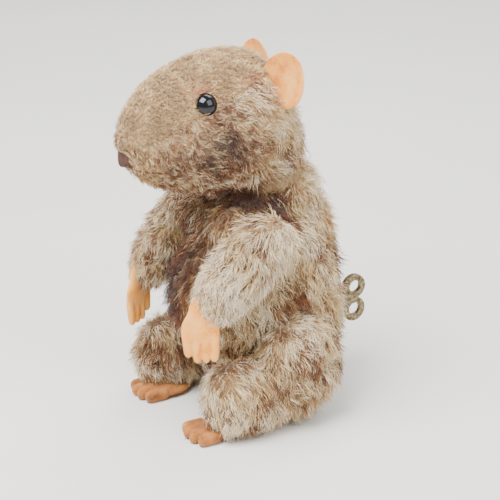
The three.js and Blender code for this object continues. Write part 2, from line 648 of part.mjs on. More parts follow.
// The mainspring: a flat spiral strip from near the arbor to the inside of the frame.
const SPRING = { inner: 2.6, outer: 8.2, turns: 3.5, strip: 0.5, y: 9.6, width: 4.4 };
function springShape() {
  const steps = SPRING.turns * 12;
  const at = (t, offset) => {
    const radius = THREE.MathUtils.lerp(SPRING.inner, SPRING.outer, t) + offset;
    const angle = t * SPRING.turns * Math.PI * 2;
    return new THREE.Vector2(radius * Math.cos(angle), radius * Math.sin(angle));
  };
  const out = Array.from({ length: steps + 1 }, (_, i) => at(i / steps, SPRING.strip / 2));
  const back = Array.from({ length: steps + 1 }, (_, i) => at(1 - i / steps, -SPRING.strip / 2));
  return new THREE.Shape([...out, ...back]);
}
onArbor('mainspring', springShape(), SPRING.y, SPRING.width, KEY_AXIS, BLUED_STEEL);

const arborEnd = BACK_PLATE_Y + PLATE_THICKNESS + 0.5;
add('winding_arbor', rod('y', WINDING_ARBOR_RADIUS, -0.8, 29, KEY_AXIS, 12), STEEL);
add('crank_arbor', rod('y', ARBOR_RADIUS, -2, arborEnd, CRANK_AXIS, 12), STEEL);
add('fly_arbor', rod('y', ARBOR_RADIUS, -0.5, arborEnd, FLY_AXIS, 12), STEEL);

// The fly: two vanes on a hub, an air brake that sets the speed.
const fly = solid(rod('y', 1.7, 10.4, 13.6, FLY_AXIS, 12))
  .add(solid(box(FLY_AXIS.x - 4.3, FLY_AXIS.x + 4.3, 10.4, 13.6, FLY_AXIS.z - 0.3, FLY_AXIS.z + 0.3)))
  .subtract(solid(rod('y', arborBore, 9, 15, FLY_AXIS, 12)));
add('fly_vane', fly, TINPLATE);

// The crank disc, with the pin that drives the link riveted into it. The pin's end stops
// just short of the link's eye.
const discFront = -3;
const crank = solid(rod('y', 4.4, discFront + 0.9, -1.1, CRANK_AXIS, 20))
  .subtract(solid(rod('y', arborBore, -2.05, 0, CRANK_AXIS, 12)))
  .add(solid(rod('y', 0.7, LINK_Y + LINK_RADIUS + GAP, -1.6, { x: LINK_X, z: crankPinZ }, 10)));
add('crank_disc', crank, BRASS);

// ---- Winding key --------------------------------------------------------------------

// Two flat loops side by side on a socket that fits the winding arbor's end.
const KEY_HALF_HEIGHT = 7.2;
const KEY_SHEET = 1.4;
const LOOP_RADIUS = 3.7;
function keyWing() {
  const loops = [1, -1].map((end) => {
    const outline = new THREE.Shape().absellipse(
      KEY_BACK - LOOP_RADIUS, end * (KEY_HALF_HEIGHT - LOOP_RADIUS), LOOP_RADIUS, LOOP_RADIUS, 0, Math.PI * 2,
    );
    outline.holes.push(new THREE.Path().absellipse(
      KEY_BACK - LOOP_RADIUS + 0.2, end * (KEY_HALF_HEIGHT - LOOP_RADIUS), 1.9, 1.9, 0, Math.PI * 2, true,
    ));
    const sheet = { depth: KEY_SHEET, bevelEnabled: false, curveSegments: 10 };
    return solid(new THREE.ExtrudeGeometry(outline, sheet));
  });
  const waist = solid(box(31, KEY_BACK - 2.2, -1.3, 1.3, 0, KEY_SHEET));
  return loops[0].add(loops[1]).add(waist);
}
const wing = geometryOf(keyWing())
  .translate(0, 0, -KEY_SHEET / 2)
  .applyMatrix4(new THREE.Matrix4().makeBasis(
    new THREE.Vector3(0, 1, 0), new THREE.Vector3(0, 0, 1), new THREE.Vector3(1, 0, 0),
  ))
  .translate(0, 0, KEY_AXIS.z);
const key = solid(wing)
  .add(solid(rod('y', 2.5, 23, 33.5, KEY_AXIS)))
  .subtract(solid(rod('y', WINDING_ARBOR_RADIUS + GAP, 20, 29 + GAP, KEY_AXIS, 12)));
add('winding_key', key, AGED_STEEL);

export default mouse;
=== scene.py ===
"""Clockwork plush mouse: covers, pile, felt, glass, thread and metal round its movement."""
import json
import math

import bmesh
import bpy
import numpy as np
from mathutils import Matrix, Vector, noise
from mathutils.kdtree import KDTree


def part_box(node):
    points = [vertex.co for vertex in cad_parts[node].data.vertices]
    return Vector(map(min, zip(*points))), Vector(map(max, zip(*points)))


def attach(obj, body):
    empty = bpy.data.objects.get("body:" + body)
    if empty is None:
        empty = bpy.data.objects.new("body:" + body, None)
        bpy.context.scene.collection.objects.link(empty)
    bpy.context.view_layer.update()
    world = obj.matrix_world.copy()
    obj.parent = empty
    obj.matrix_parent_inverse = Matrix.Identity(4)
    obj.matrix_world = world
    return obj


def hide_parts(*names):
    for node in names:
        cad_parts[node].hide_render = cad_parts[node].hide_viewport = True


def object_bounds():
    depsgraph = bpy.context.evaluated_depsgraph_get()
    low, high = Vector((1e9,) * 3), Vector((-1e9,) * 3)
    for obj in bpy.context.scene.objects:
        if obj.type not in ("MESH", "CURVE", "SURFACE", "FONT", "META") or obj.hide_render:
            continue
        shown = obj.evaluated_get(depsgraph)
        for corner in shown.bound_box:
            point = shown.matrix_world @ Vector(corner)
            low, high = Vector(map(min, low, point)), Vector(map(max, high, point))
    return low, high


bl_info = {
    "name": "Clockwork Mouse",
    "version": (1, 0, 0),
    "blender": (4, 5, 0),
    "location": "View3D > Sidebar > Mouse",
    "description": "Builds the soft and hard pieces of a clockwork plush mouse",
    "category": "Add Mesh",
}

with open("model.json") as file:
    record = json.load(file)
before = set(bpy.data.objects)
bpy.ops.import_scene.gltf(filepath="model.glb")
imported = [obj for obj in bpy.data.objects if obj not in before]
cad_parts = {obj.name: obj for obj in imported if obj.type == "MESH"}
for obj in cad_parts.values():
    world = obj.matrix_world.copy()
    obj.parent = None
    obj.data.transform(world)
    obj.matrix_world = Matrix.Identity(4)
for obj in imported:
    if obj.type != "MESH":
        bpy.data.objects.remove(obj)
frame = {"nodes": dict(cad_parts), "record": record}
CAD_BOX = [list(corner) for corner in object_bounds()]
MM = 0.001
SIDES = {"left": 1, "right": -1}


# ---- Places, from the frame ---------------------------------------------------------


class Space:
    """The box of a CAD node, with places in it given as shares of its sides."""

    def __init__(self, node):
        self.low, self.high = (Vector(corner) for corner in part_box(node))
        self.size = self.high - self.low
        self.middle = (self.low + self.high) / 2

    def at(self, x, y, z):
        """A place in the box, from 0 at its low sides to 1 at its high ones."""
        share = Vector((x, y, z))
        return self.low + Vector(share[i] * self.size[i] for i in range(3))


def joint(name):
    """A joint's row in the record."""
    return next(j for j in frame["record"]["behaviour"]["joints"] if j["name"] == name)


BODY = Space("body_plush")
NECK = Vector(joint("head_nod")["pos_m"])
SHOULDER = {name: Vector(joint(f"{name}_arm_swing")["pos_m"]) for name in SIDES}
HEIGHT = CAD_BOX[1][2]


# ---- What a user would change -------------------------------------------------------


class PlushSettings(bpy.types.PropertyGroup):
    """Sizes of the covers and the pile."""

    pile_depth: bpy.props.FloatProperty(
        name="Pile depth", description="How far the covers lie under the mean surface of the pile",
        default=1.6 * MM, min=0, unit="LENGTH",
    )
    pile_length: bpy.props.FloatProperty(
        name="Pile length", description="Length of the mohair on the body and the limbs",
        default=4.8 * MM, min=0, unit="LENGTH",
    )
    clipped_length: bpy.props.FloatProperty(
        name="Clipped length", description="Length of the clipped pile over the top of the head",
        default=1.7 * MM, min=0, unit="LENGTH",
    )
    fibre_width: bpy.props.FloatProperty(
        name="Fibre width", description="Width of a drawn fibre, which stands for a few real ones",
        default=0.185 * MM, min=0, unit="LENGTH",
    )
    density: bpy.props.FloatProperty(
        name="Density", description="Share of the full number of fibres", default=1.0, min=0.05, max=1.5,
        subtype="FACTOR",
    )


class FeltSettings(bpy.types.PropertyGroup):
    """Colours of the felt."""

    colour: bpy.props.StringProperty(
        name="Colour", description="Colour of the ears and the hands, as a hex value", default="#F29A32",
    )
    worn_colour: bpy.props.StringProperty(
        name="Worn colour", description="Colour of the soiled feet, as a hex value", default="#9A5C22",
    )


# ---- Small helpers ------------------------------------------------------------------


def linear(hex_colour):
    """An sRGB hex colour as linear red, green and blue, with an alpha of 1."""
    parts = [int(hex_colour[i:i + 2], 16) / 255 for i in (1, 3, 5)]
    return tuple(p / 12.92 if p <= 0.04045 else ((p + 0.055) / 1.055) ** 2.4 for p in parts) + (1.0,)


def node(tree, kind, settings=None, links=None):
    """Adds a node, sets its properties, its sockets and a ramp's stops, and links its inputs."""
    made = tree.nodes.new(kind)
    for key, value in (settings or {}).items():
        if key == "stops":
            elements = made.color_ramp.elements
            while len(elements) < len(value):
                elements.new(0.5)
            for element, (position, colour) in zip(elements, value):
                element.position = position
                element.color = linear(colour)
        elif isinstance(key, int) or key in made.inputs:
            made.inputs[key].default_value = value
        else:
            setattr(made, key, value)
    for key, source in (links or {}).items():
        tree.links.new(source, made.inputs[key])
    return made


def metres(*sizes):
    """Sizes in mm as metres."""
    return [size * MM for size in sizes]


def only(obj):
    """Selects one object and nothing else, and makes it active."""
    if bpy.context.object and bpy.context.object.mode != "OBJECT":
        bpy.ops.object.mode_set(mode="OBJECT")
    bpy.ops.object.select_all(action="DESELECT")
    obj.select_set(True)
    bpy.context.view_layer.objects.active = obj


def added(name):
    """Names the primitive that was just added."""
    obj = bpy.context.object
    obj.name = name
    obj.data.name = name
    return obj


def apply_place(obj):
    """Puts an object's place, turn and scale in its mesh."""
    only(obj)
    bpy.ops.object.transform_apply(location=True, rotation=True, scale=True)


def apply_modifier(obj, kind, **settings):
    """Adds a modifier with its settings, and applies it."""
    only(obj)
    modifier = obj.modifiers.new(kind.title(), kind)
    for key, value in settings.items():
        setattr(modifier, key, value)
    bpy.ops.object.modifier_apply(modifier=modifier.name)


def join(objects, name):
    """Joins objects into the first, and names it."""
    only(objects[0])
    for other in objects[1:]:
        other.select_set(True)
    bpy.ops.object.join()
    return added(name)


def ball(name, centre, radii, segments=24, rings=16, turn=(0, 0, 0)):
    """A ball with its own radius along each axis, its place applied to its mesh."""
    bpy.ops.mesh.primitive_uv_sphere_add(
        segments=segments, ring_count=rings, radius=1, location=centre, rotation=turn, scale=radii,
    )
    obj = added(name)
    apply_place(obj)
    return obj


def points(obj):
    """A mesh's points, one to a row."""
    flat = np.empty(len(obj.data.vertices) * 3)
    obj.data.vertices.foreach_get("co", flat)
    return flat.reshape(-1, 3)


def set_points(obj, places):
    """Moves a mesh's points."""
    obj.data.vertices.foreach_set("co", np.ascontiguousarray(places).ravel())
    obj.data.update()


def finish(obj, body, finish_material, replaced=()):
    """Gives a piece its material, the body it rides on and the nodes it stands for."""
    obj.data.materials.clear()
    obj.data.materials.append(finish_material)
    only(obj)
    bpy.ops.object.shade_smooth()
    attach(obj, body)
    if replaced:
        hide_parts(*replaced)
    return obj


# ---- Materials ----------------------------------------------------------------------


def material(name, stops=None, grain=1.0, detail=4.0, rough=None, bump=None, patches=None, **sockets):
    """A material with plain values on its shader's sockets and a noise over its surface. The
    noise has its grain in mm. It runs through the colours of stops, through the two ends of
    rough, and through a bump given as its strength and its depth in mm. patches is a wider
    noise that the fine one is added to: its grain in mm and the fine one's share."""
    made = bpy.data.materials.new(name)
    made.use_nodes = True
    tree = made.node_tree
    shader = tree.nodes["Principled BSDF"]
    for key, value in sockets.items():
        shader.inputs[key.replace("_", " ")].default_value = value
    if not stops and not rough:
        return made
    place = node(tree, "ShaderNodeTexCoord").outputs["Object"]
    scale = {"Scale": 1 / (grain * MM), "Detail": detail}
    fine = tone = node(tree, "ShaderNodeTexNoise", scale, {"Vector": place}).outputs["Fac"]
    if patches:
        scale = {"Scale": 1 / (patches[0] * MM), "Detail": 3.0}
        wide = node(tree, "ShaderNodeTexNoise", scale, {"Vector": place}).outputs["Fac"]
        mix = {"operation": "MULTIPLY_ADD", 1: patches[1]}
        tone = node(tree, "ShaderNodeMath", mix, {0: fine, 2: wide}).outputs["Value"]
    if stops:
        colour = node(tree, "ShaderNodeValToRGB", {"stops": stops}, {"Fac": tone})
        tree.links.new(colour.outputs["Color"], shader.inputs["Base Color"])
    if rough:
        span = node(tree, "ShaderNodeMapRange", {"To Min": rough[0], "To Max": rough[1]}, {"Value": fine})
        tree.links.new(span.outputs["Result"], shader.inputs["Roughness"])
    if bump:
        depth = {"Strength": bump[0], "Distance": bump[1] * MM}
        relief = node(tree, "ShaderNodeBump", depth, {"Height": fine})
        tree.links.new(relief.outputs["Normal"], shader.inputs["Normal"])
    return made


def mohair_cloth():
    """Mohair plush, woven: a cotton ground with the roots of the pile packed on it.
    It shows between the fibres as a dull mottle of straw and brown."""
    return material(
        "mohair_plush_ground", [(0.42, "#3B2717"), (0.62, "#7B5B3A"), (0.85, "#B59A6E")], grain=0.5,
        bump=(0.6, 0.4), patches=(9, 0.35), Roughness=0.95, Sheen_Weight=0.25,
    )


def clipped_ground():
    """Mohair plush, shorn close: a dense even nap, beige with grey-brown shadows in it."""
    return material(
        "clipped_mohair_ground", [(0.3, "#7D6446"), (0.7, "#BEA27A")], grain=0.6, bump=(0.5, 0.3),
        Roughness=0.95, Sheen_Weight=0.35,
    )


def wool_felt(name, dark, colour, pale):
    """Wool felt, pressed and cut: matted fibres with no weave, soiled and faded with age."""
    return material(
        name, [(0.42, dark), (0.66, colour), (0.95, pale)], grain=0.45, detail=6.0, bump=(0.7, 0.25),
        patches=(5, 0.45), Roughness=0.93, Sheen_Weight=0.12, Sheen_Roughness=0.6,
    )


def black_glass():
    """Black glass, blown and fire-polished: deep, with fine rubbed marks that blur it a little."""
    return material(
        "black_glass", grain=0.8, detail=3.0, rough=(0.02, 0.09), Base_Color=linear("#05070C"), IOR=1.48,
    )


def cotton_thread(name, dark, light):
    """Cotton thread, spun and dyed: a soft twist with a faint lustre."""
    return material(
        name, [(0.3, dark), (0.7, light)], grain=0.25, detail=3.0, bump=(0.5, 0.1), Roughness=0.7,
        Sheen_Weight=0.2,
    )


def pressed_card():
    """Card, pressed from waste paper: a flecked brown sheet with no gloss."""
    return material("pressed_card", [(0.3, "#77603F"), (0.7, "#A88B62")], grain=0.4, Roughness=0.9)


def painted_floor():
    """Matt emulsion on board, rolled: pale and even, with a faint drift in its tone."""
    return material("pale_floor", [(0.3, "#D9D6CF"), (0.7, "#E2DFD9")], grain=250, detail=2.0, Roughness=0.8)


# Metals, by material slot: name, colours, the two ends of the roughness, and grain in mm.
METALS = {
    # Brass, stamped from rolled sheet: warm, gone dull in patches.
    "brass": ("stamped_brass", [(0.3, "#8A6A33"), (0.7, "#C9A457")], (0.28, 0.45), 1.2),
    # Tinplate, rolled and dipped: pale grey with a broad soft spangle.
    "tinplate": ("tinplate", [(0.3, "#8F8C84"), (0.7, "#C2BFB5")], (0.3, 0.5), 2.5),
    # Spring steel, blued by heat: dark slate, a little glossier than the plates.
    "blued_steel": ("blued_spring_steel", [(0.3, "#232A38"), (0.7, "#4A5468")], (0.22, 0.38), 1.5),
    # Nickel plate, rubbed by fingers: grey, with the brown of the worn metal coming through.
    "aged_steel": (
        "worn_nickel_plate", [(0.3, "#4B3B26"), (0.55, "#84755A"), (0.8, "#B9AE97")], (0.3, 0.6), 0.9,
    ),
    # Steel, drawn to wire and rod: plain grey with fine die marks.
    "bright_steel": ("drawn_steel", [(0.3, "#77746D"), (0.7, "#A5A29A")], (0.3, 0.45), 0.8),
}


def worn_metal(name, colours, roughness, grain):
    """A metal whose stamping, drawing or plating shows as a mottle in its colour and its gloss."""
    return material(
        name, colours, grain=grain, detail=5.0, rough=roughness, bump=(0.4, 0.02), Metallic=1.0,
    )


# A drawn fibre has a shade for its root, its middle and its tip. Dyed mohair is even along
# such a short length, so each shade is a plain material and the pattern is in the fibres.
FIBRE_SHADES = {
    "white": "#F1DFBF", "cream": "#E2C795", "straw": "#C69E66", "tan": "#97653A",
    "brown": "#6D3A1C", "dark": "#40200F", "ash": "#B1966C", "rose": "#C46A4C",
}
SHADE = {name: i for i, name in enumerate(FIBRE_SHADES)}


def fibre_materials():
    """Mohair, dyed: smooth fibres with a soft lustre. One material for each shade, in order."""
    return [
        bpy.data.materials.get(f"mohair_fibre_{name}") or material(
            f"mohair_fibre_{name}", Base_Color=linear(colour), Roughness=0.55, Sheen_Weight=0.15,
            Specular_IOR_Level=0.35,
        )
        for name, colour in FIBRE_SHADES.items()
    ]


# ---- Stuffed forms ------------------------------------------------------------------


SAME_LEVEL = 1e-5  # points of a ball's ring are this near in height, on a ball of radius 1
CLOTH_SCALE = 10  # the cloth is worked at this many times its size, where the solver is at home
CLOTH_STEPS = 20
CLOTH_PRESSURE = 4

def shape_rings(obj, low, high, section):
    """Moves and resizes the rings of a ball whose poles are on Z, so that its outline
    follows section(height) -> (centre x, centre y, half width, half depth)."""
    only(obj)
    bpy.ops.object.mode_set(mode="EDIT")
    bpy.ops.mesh.select_mode(type="VERT")
    mesh = bmesh.from_edit_mesh(obj.data)
    levels = sorted({round(v.co.z, 6) for v in mesh.verts})
    for level in levels:
        mesh = bmesh.from_edit_mesh(obj.data)
        share = (level - levels[0]) / (levels[-1] - levels[0])
        x, y, half_x, half_y = section(share)
        ring = [v for v in mesh.verts if not v.tag and abs(v.co.z - level) < SAME_LEVEL]
        if not ring:
            continue
        for v in mesh.verts:
            v.select = False
        for v in ring:
            v.select = True
            v.tag = True
        mesh.select_flush_mode()
        bmesh.update_edit_mesh(obj.data)
        radius = math.sqrt(max(0.0, 1 - (2 * share - 1) ** 2))
        if len(ring) > 1:
            bpy.ops.transform.resize(
                value=(half_x / radius, half_y / radius, 1), center_override=(0, 0, level),
            )
        bpy.ops.transform.translate(value=(x, y, low + share * (high - low) - level))
        for v in bmesh.from_edit_mesh(obj.data).verts:
            v.tag = v.tag or v.select
    bpy.ops.object.mode_set(mode="OBJECT")


def lathe_like(name, low, high, rows, bluntness, segments=36, rings=26):
    """A stuffed form along Z. rows are (height share, centre x, centre y, half width, half
    depth), and both ends close in a round."""
    bpy.ops.mesh.primitive_uv_sphere_add(segments=segments, ring_count=rings, radius=1)
    obj = added(name)
    table = np.array(rows)

    def section(share):
        values = [np.interp(share, table[:, 0], table[:, i]) for i in range(1, 5)]
        closing = math.sqrt(max(0.0, 1 - abs(2 * share - 1) ** bluntness))
        return values[0], values[1], values[2] * closing, values[3] * closing

    shape_rings(obj, low, high, section)
    return obj


def soften(obj, voxel, swell):
    """Stuffs a cover: an even mesh, blown up by cloth pressure to no more than the swell, and
    then subdivided."""
    apply_modifier(obj, "REMESH", mode="VOXEL", voxel_size=voxel)
    before = points(obj)
    set_points(obj, before * CLOTH_SCALE)
    only(obj)
    cloth = obj.modifiers.new("Cloth", "CLOTH")
    cloth.settings.use_pressure = True
    cloth.settings.uniform_pressure_force = CLOTH_PRESSURE
    cloth.settings.effector_weights.gravity = 0
    scene = bpy.context.scene
    for step in range(1, CLOTH_STEPS + 1):
        scene.frame_set(step)
    bpy.ops.object.modifier_apply(modifier=cloth.name)
    scene.frame_set(1)
    moved = points(obj) / CLOTH_SCALE - before
    length = np.linalg.norm(moved, axis=1, keepdims=True)
    set_points(obj, before + moved * np.minimum(1, swell / np.maximum(length, 1e-9)))
    apply_modifier(obj, "SMOOTH", factor=0.5, iterations=2)
    apply_modifier(obj, "SUBSURF", levels=1, render_levels=1)


# ---- Pile ---------------------------------------------------------------------------


def mottle(places, size, seed, tall=1.0):
    """Smooth noise from 0 to 1 at each place, in patches of about that size, drawn out upwards."""
    shift = Vector((seed * 7.3, seed * 3.1, seed * 5.7))
    scaled = places / np.array((size, size, size * tall))
    values = [noise.fractal(Vector(p) + shift, 0.8, 2.1, 3) for p in scaled]
    return np.clip(np.array(values) * 0.6 + 0.5, 0, 1)


def patchy(places, mean, contrast, size, seed, tall=1.0):
    """Mottle about a mean, its patches' size in mm."""
    return mean + contrast * (mottle(places, size * MM, seed, tall) - 0.5)


def scatter(obj, per_mm2, rng, keep):
    """Even random roots on a cover: places and outward normals where keep(places, normals)."""
    mesh = obj.data
    mesh.calc_loop_triangles()
    corners = np.empty(len(mesh.loop_triangles) * 3, dtype=np.int64)
    mesh.loop_triangles.foreach_get("vertices", corners)
    corners = corners.reshape(-1, 3)
    normals = np.empty(len(mesh.vertices) * 3)
    mesh.vertices.foreach_get("normal", normals)
    normals = normals.reshape(-1, 3)
    places = points(obj)
    a, b, c = (places[corners[:, i]] for i in range(3))
    area = np.linalg.norm(np.cross(b - a, c - a), axis=1) / 2
    count = int(area.sum() / MM ** 2 * per_mm2)
    chosen = rng.choice(len(area), size=count, p=area / area.sum())
    u, v = rng.random((2, count, 1))
    fold = (u + v) > 1
    u, v = np.where(fold, 1 - u, u), np.where(fold, 1 - v, v)
    roots = a[chosen] * (1 - u - v) + b[chosen] * u + c[chosen] * v
    n = [normals[corners[chosen, i]] for i in range(3)]
    outward = n[0] * (1 - u - v) + n[1] * u + n[2] * v
    outward /= np.linalg.norm(outward, axis=1, keepdims=True)
    wanted = keep(roots, outward)
    return roots[wanted], outward[wanted]


def unit(vectors):
    """Each vector at a length of 1."""
    return vectors / np.maximum(np.linalg.norm(vectors, axis=1, keepdims=True), 1e-12)


def comb(roots, normals, flow, swirl, seed):
    """The lie of the pile: flow pressed onto the surface, turned a little by a slow noise."""
    along = unit(flow - normals * (flow * normals).sum(1, keepdims=True))
    angle = patchy(roots, 0, 2 * swirl, 7, seed)[:, None]
    return along * np.cos(angle) + np.cross(normals, along) * np.sin(angle)


def locks(roots, size, rng):
    """Neighbouring fibres mat into locks: which fibre leads each one, and how far off it is."""
    count = len(roots)
    picks = rng.choice(count, size=max(1, int(count * size)), replace=False)
    tree = KDTree(len(picks))
    for i, pick in enumerate(picks):
        tree.insert(roots[pick], i)
    tree.balance()
    found = [tree.find(place) for place in roots]
    return picks[np.array([f[1] for f in found])], np.array([f[2] for f in found])


STRAY = 0.32  # how far a fibre and a lock turn from the lie of the pile
LOCK_REACH = 2.2 * MM  # a leading fibre pulls the others to it within about this distance
WAVE = 0.11  # the height of a fibre's wave, as a share of its length
ROOT_DEPTH = 0.3 * MM  # how far the roots stand in the cover
LOWEST = 0.12 * MM  # fibres at the seat lie flat on the floor, at this height


def strands(roots, normals, lie, length, lift, droop, rng, lock, apart, clump, rings=3):
    """The middle line of each fibre: an array of fibres by rings + 1 points."""
    count = len(roots)
    lie = unit(lie + rng.normal(0, STRAY, (count, 3)) + rng.normal(0, STRAY, (count, 3))[lock])
    start = unit(lie * (1 - lift[:, None]) + normals * lift[:, None])
    end = unit(lie + normals * (lift[:, None] - 0.45) * 0.6 + np.array([0, 0, -droop]))
    share = np.linspace(0, 1, rings + 1)[None, :, None]
    line = roots[:, None] + length[:, None, None] * (
        start[:, None] * (share - share ** 2 / 2) + end[:, None] * share ** 2 / 2
    )
    near_leader = np.exp(-(apart / LOCK_REACH) ** 2)
    pull = (clump * near_leader)[:, None, None] * share ** 1.2
    line = line + (line[lock] - line) * pull
    # A slight wave, shared by the fibres of a lock.
    across = np.cross(unit(normals), lie)
    phase = (rng.random(count) * 2 * math.pi)[lock] + rng.normal(0, 0.9, count)
    size = (WAVE * length)[:, None, None]
    line = line + across[:, None] * np.sin(phase[:, None, None] + share * 5.0) * size * share
    line[:, 0] = roots - normals * ROOT_DEPTH
    line[:, :, 2] = np.maximum(line[:, :, 2], LOWEST)
    return line


def pile_mesh(name, line, width, shades):
    """Fibres as closed three-sided spikes. shades gives a material index for each fibre and
    each of its stretches."""
    count, levels = line.shape[:2]
    rings = levels - 1
    heading = unit((line[:, 1:] - line[:, :-1]).reshape(-1, 3)).reshape(count, rings, 3)
    reference = np.where(np.abs(heading[:, :1, 2:3]) < 0.9, [[[0, 0, 1.0]]], [[[1.0, 0, 0]]])
    side = np.cross(heading, reference)
    side /= np.maximum(np.linalg.norm(side, axis=2, keepdims=True), 1e-12)
    up = np.cross(heading, side)
    taper = np.linspace(1, 0.55, rings)[None, :, None, None] * width[:, None, None, None] / 2
    angles = np.arange(3) * 2 * math.pi / 3
    around = side[:, :, None] * np.cos(angles)[:, None] + up[:, :, None] * np.sin(angles)[:, None]
    body = line[:, :-1, None] + around * taper
    stride = rings * 3 + 1
    places = np.concatenate([body.reshape(count, -1, 3), line[:, -1:]], axis=1).reshape(-1, 3)
    faces, stretch = [(0, 1, 2)], [0]
    for ring in range(rings - 1):
        for i in range(3):
            a, b = ring * 3 + i, ring * 3 + (i + 1) % 3
            faces += [(a, a + 3, b), (b, a + 3, b + 3)]
            stretch += [ring, ring]
    top = (rings - 1) * 3
    faces += [(top + i, stride - 1, top + (i + 1) % 3) for i in range(3)]
    stretch += [rings - 1] * 3
    corners = (np.array(faces)[None] + (np.arange(count) * stride)[:, None, None]).reshape(-1, 3)
    mesh = bpy.data.meshes.new(name)
    mesh.vertices.add(len(places))
    mesh.vertices.foreach_set("co", places.ravel())
    mesh.loops.add(corners.size)
    mesh.loops.foreach_set("vertex_index", corners.ravel().astype(np.int32))
    mesh.polygons.add(len(corners))
    mesh.polygons.foreach_set("loop_start", np.arange(0, corners.size, 3, dtype=np.int32))
    mesh.polygons.foreach_set("loop_total", np.full(len(corners), 3, dtype=np.int32))
    mesh.polygons.foreach_set("material_index", shades[:, stretch].ravel().astype(np.int32))
    mesh.polygons.foreach_set("use_smooth", np.ones(len(corners), dtype=bool))
    for made in fibre_materials():
        mesh.materials.append(made)
    mesh.update(calc_edges=True)
    obj = bpy.data.objects.new(name, mesh)
    bpy.context.collection.objects.link(obj)
    return obj


MOST_FIBRES = 12000  # in one piece, which keeps it under 200,000 triangles


def lay_pile(name, line, width, shades, body):
    """Makes the pile in pieces of bounded size, each riding on the body."""
    parts = math.ceil(len(line) / MOST_FIBRES)
    for i in range(parts):
        part = slice(i, None, parts)
        piece = pile_mesh(f"{name}_{i + 1}", line[part], width[part], shades[part])
        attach(piece, body)


def near(places, centre, radii):
    """1 at a centre, falling to 0 at the radii round it."""
    offset = (places - np.array(centre)) / np.array(radii)
    return np.exp(-(offset ** 2).sum(1) * 1.6)


def inside_ball(places, centre, radii):
    """Which places are in a ball that has its own radius along each axis."""
    return (((places - np.array(centre)) / np.array(radii)) ** 2).sum(1) < 1


# Darker patches in the pile, by piece: how much darker, the middle, and the reach, in mm. Some are the pile's
# own brown, and some are painted shade where the body shades itself.
PATCHES = {
    "torso": [
        # Painted shade between the arms, over the chest and the belly.
        (0.72, (-4, -20, 38), (17, 14, 28)),  # the chest and the belly
        (0.45, (16, 22, 16), (8, 8, 8)),  # low on the back
    ],
    "leg": [(0.3, (-12, -20, 15), (6, 8, 6))],  # the right knee
    "head": [],
}
# The same, for patches that are on both sides. The middle is that of the left one.
PAIRED_PATCHES = {
    "torso": [
        # Painted shade under the head, round the collar.
        (0.78, (11, -3, 62), (10, 11, 6)),  # the collar
        # Painted shade in the crease under the arms, on the flanks.
        (0.2, (18, 3, 36), (8, 12, 5)),  # the flanks
        (0.3, (9, 25, 44), (6, 6, 18)),  # the back
    ],
    "leg": [
        # Painted shade between the legs.
        (0.45, (10, -6, 14), (5, 18, 14)),  # between the legs
        (0.4, (20, 19, 14), (10, 6, 10)),  # the hips
    ],
    "head": [
        (0.82, (15, -16, 82), (8, 9, 10)),  # the cheeks, under the eyes
        (0.3, (9, -29, 78), (8, 12, 9)),  # the muzzle
        # Painted shade under the chin, on the throat.
        (0.5, (9, -8, 65), (15, 20, 7)),  # the throat
        (-0.15, (16, 0, 88), (8, 9, 8)),  # paler, under the ears
    ],
}


def darker(places, piece):
    """How much darker the pile of a piece is at each place, from its patches, painted shade among them."""
    paired = PAIRED_PATCHES[piece]
    mirrored = [(amount, (-x, y, z), reach) for amount, (x, y, z), reach in paired]
    return sum(
        amount * near(places, metres(*middle), metres(*reach))
        for amount, middle, reach in (*PATCHES[piece], *paired, *mirrored)
    )


def mohair_shades(darkness, paleness, lock, rng):
    """The shade of each stretch of each fibre, browner at its root and paler at its tip.
    darkness and paleness run from 0 to 1, and the fibres of a lock are nearly alike."""
    spread = rng.normal(0, 0.1, (2, len(lock)))[:, lock] + rng.normal(0, 0.12, (2, len(lock)))
    dark = (darkness + spread[0])[:, None] + np.array([0.1, 0, -0.06])
    pale = (paleness + spread[1])[:, None] + np.array([-0.15, 0, 0.15])
    return np.select(
        [dark > 0.88, dark > 0.63, dark > 0.46, pale > 0.62, pale > 0.3],
        [SHADE[name] for name in ("dark", "brown", "tan", "white", "cream")], SHADE["straw"],
    )


# ---- Covers -------------------------------------------------------------------------


# Torso sections: height, middle in Y, half width, half depth, in mm to the mean pile.
TORSO_ROWS = [
    (-5, 6, 19, 14), (8, 6.4, 21.3, 17), (18, 7.2, 22, 20), (28, 7.3, 21.8, 21.5), (38, 6.5, 20.2, 21.5),
    (48, 6.2, 18, 21.2), (56, 6.3, 16.8, 20.8), (63.5, 6.6, 15.8, 20.2),
]
BELLY = (13, 34, 29)  # how far it stands out, the height it is at, half its height, in mm
NECK_GAP = 0.8  # the neck's cover is this far under the CAD's, in mm
NAPE = ((0, 11.5, 63), (12, 9, 8))  # a ball's middle and radii, in mm
SHOULDER_BALL = ((9.5, 2, -1), (7, 11, 10.5))  # out, then back and up from the pin, and radii, in mm
THIGH_HOLLOW = (13, 4, 15, 17, 7)  # floor's distance out, middle in Y, half sizes in Y and Z, rise, in mm
ARM_HOLLOW = (2.4, 11, 3)  # floor's distance in from the pin, radius, rise, in mm

# A leg: the thigh's middle and radii, and how far the shin is in from the leg's outer side.
# Then each ball of the shin: how far it is behind the leg's front, its height and its radii.
THIGH = ((20.4, 4.2, 17.2), (7.8, 15, 16.5))
SHIN_IN = 9.4
SHIN_BALLS = {
    "shin": (16, 11, (8, 16.4, 13)), "calf": (11, 7, (7.6, 10.6, 8.4)), "knee": (10.5, 15, (7.4, 9.6, 8.4)),
}

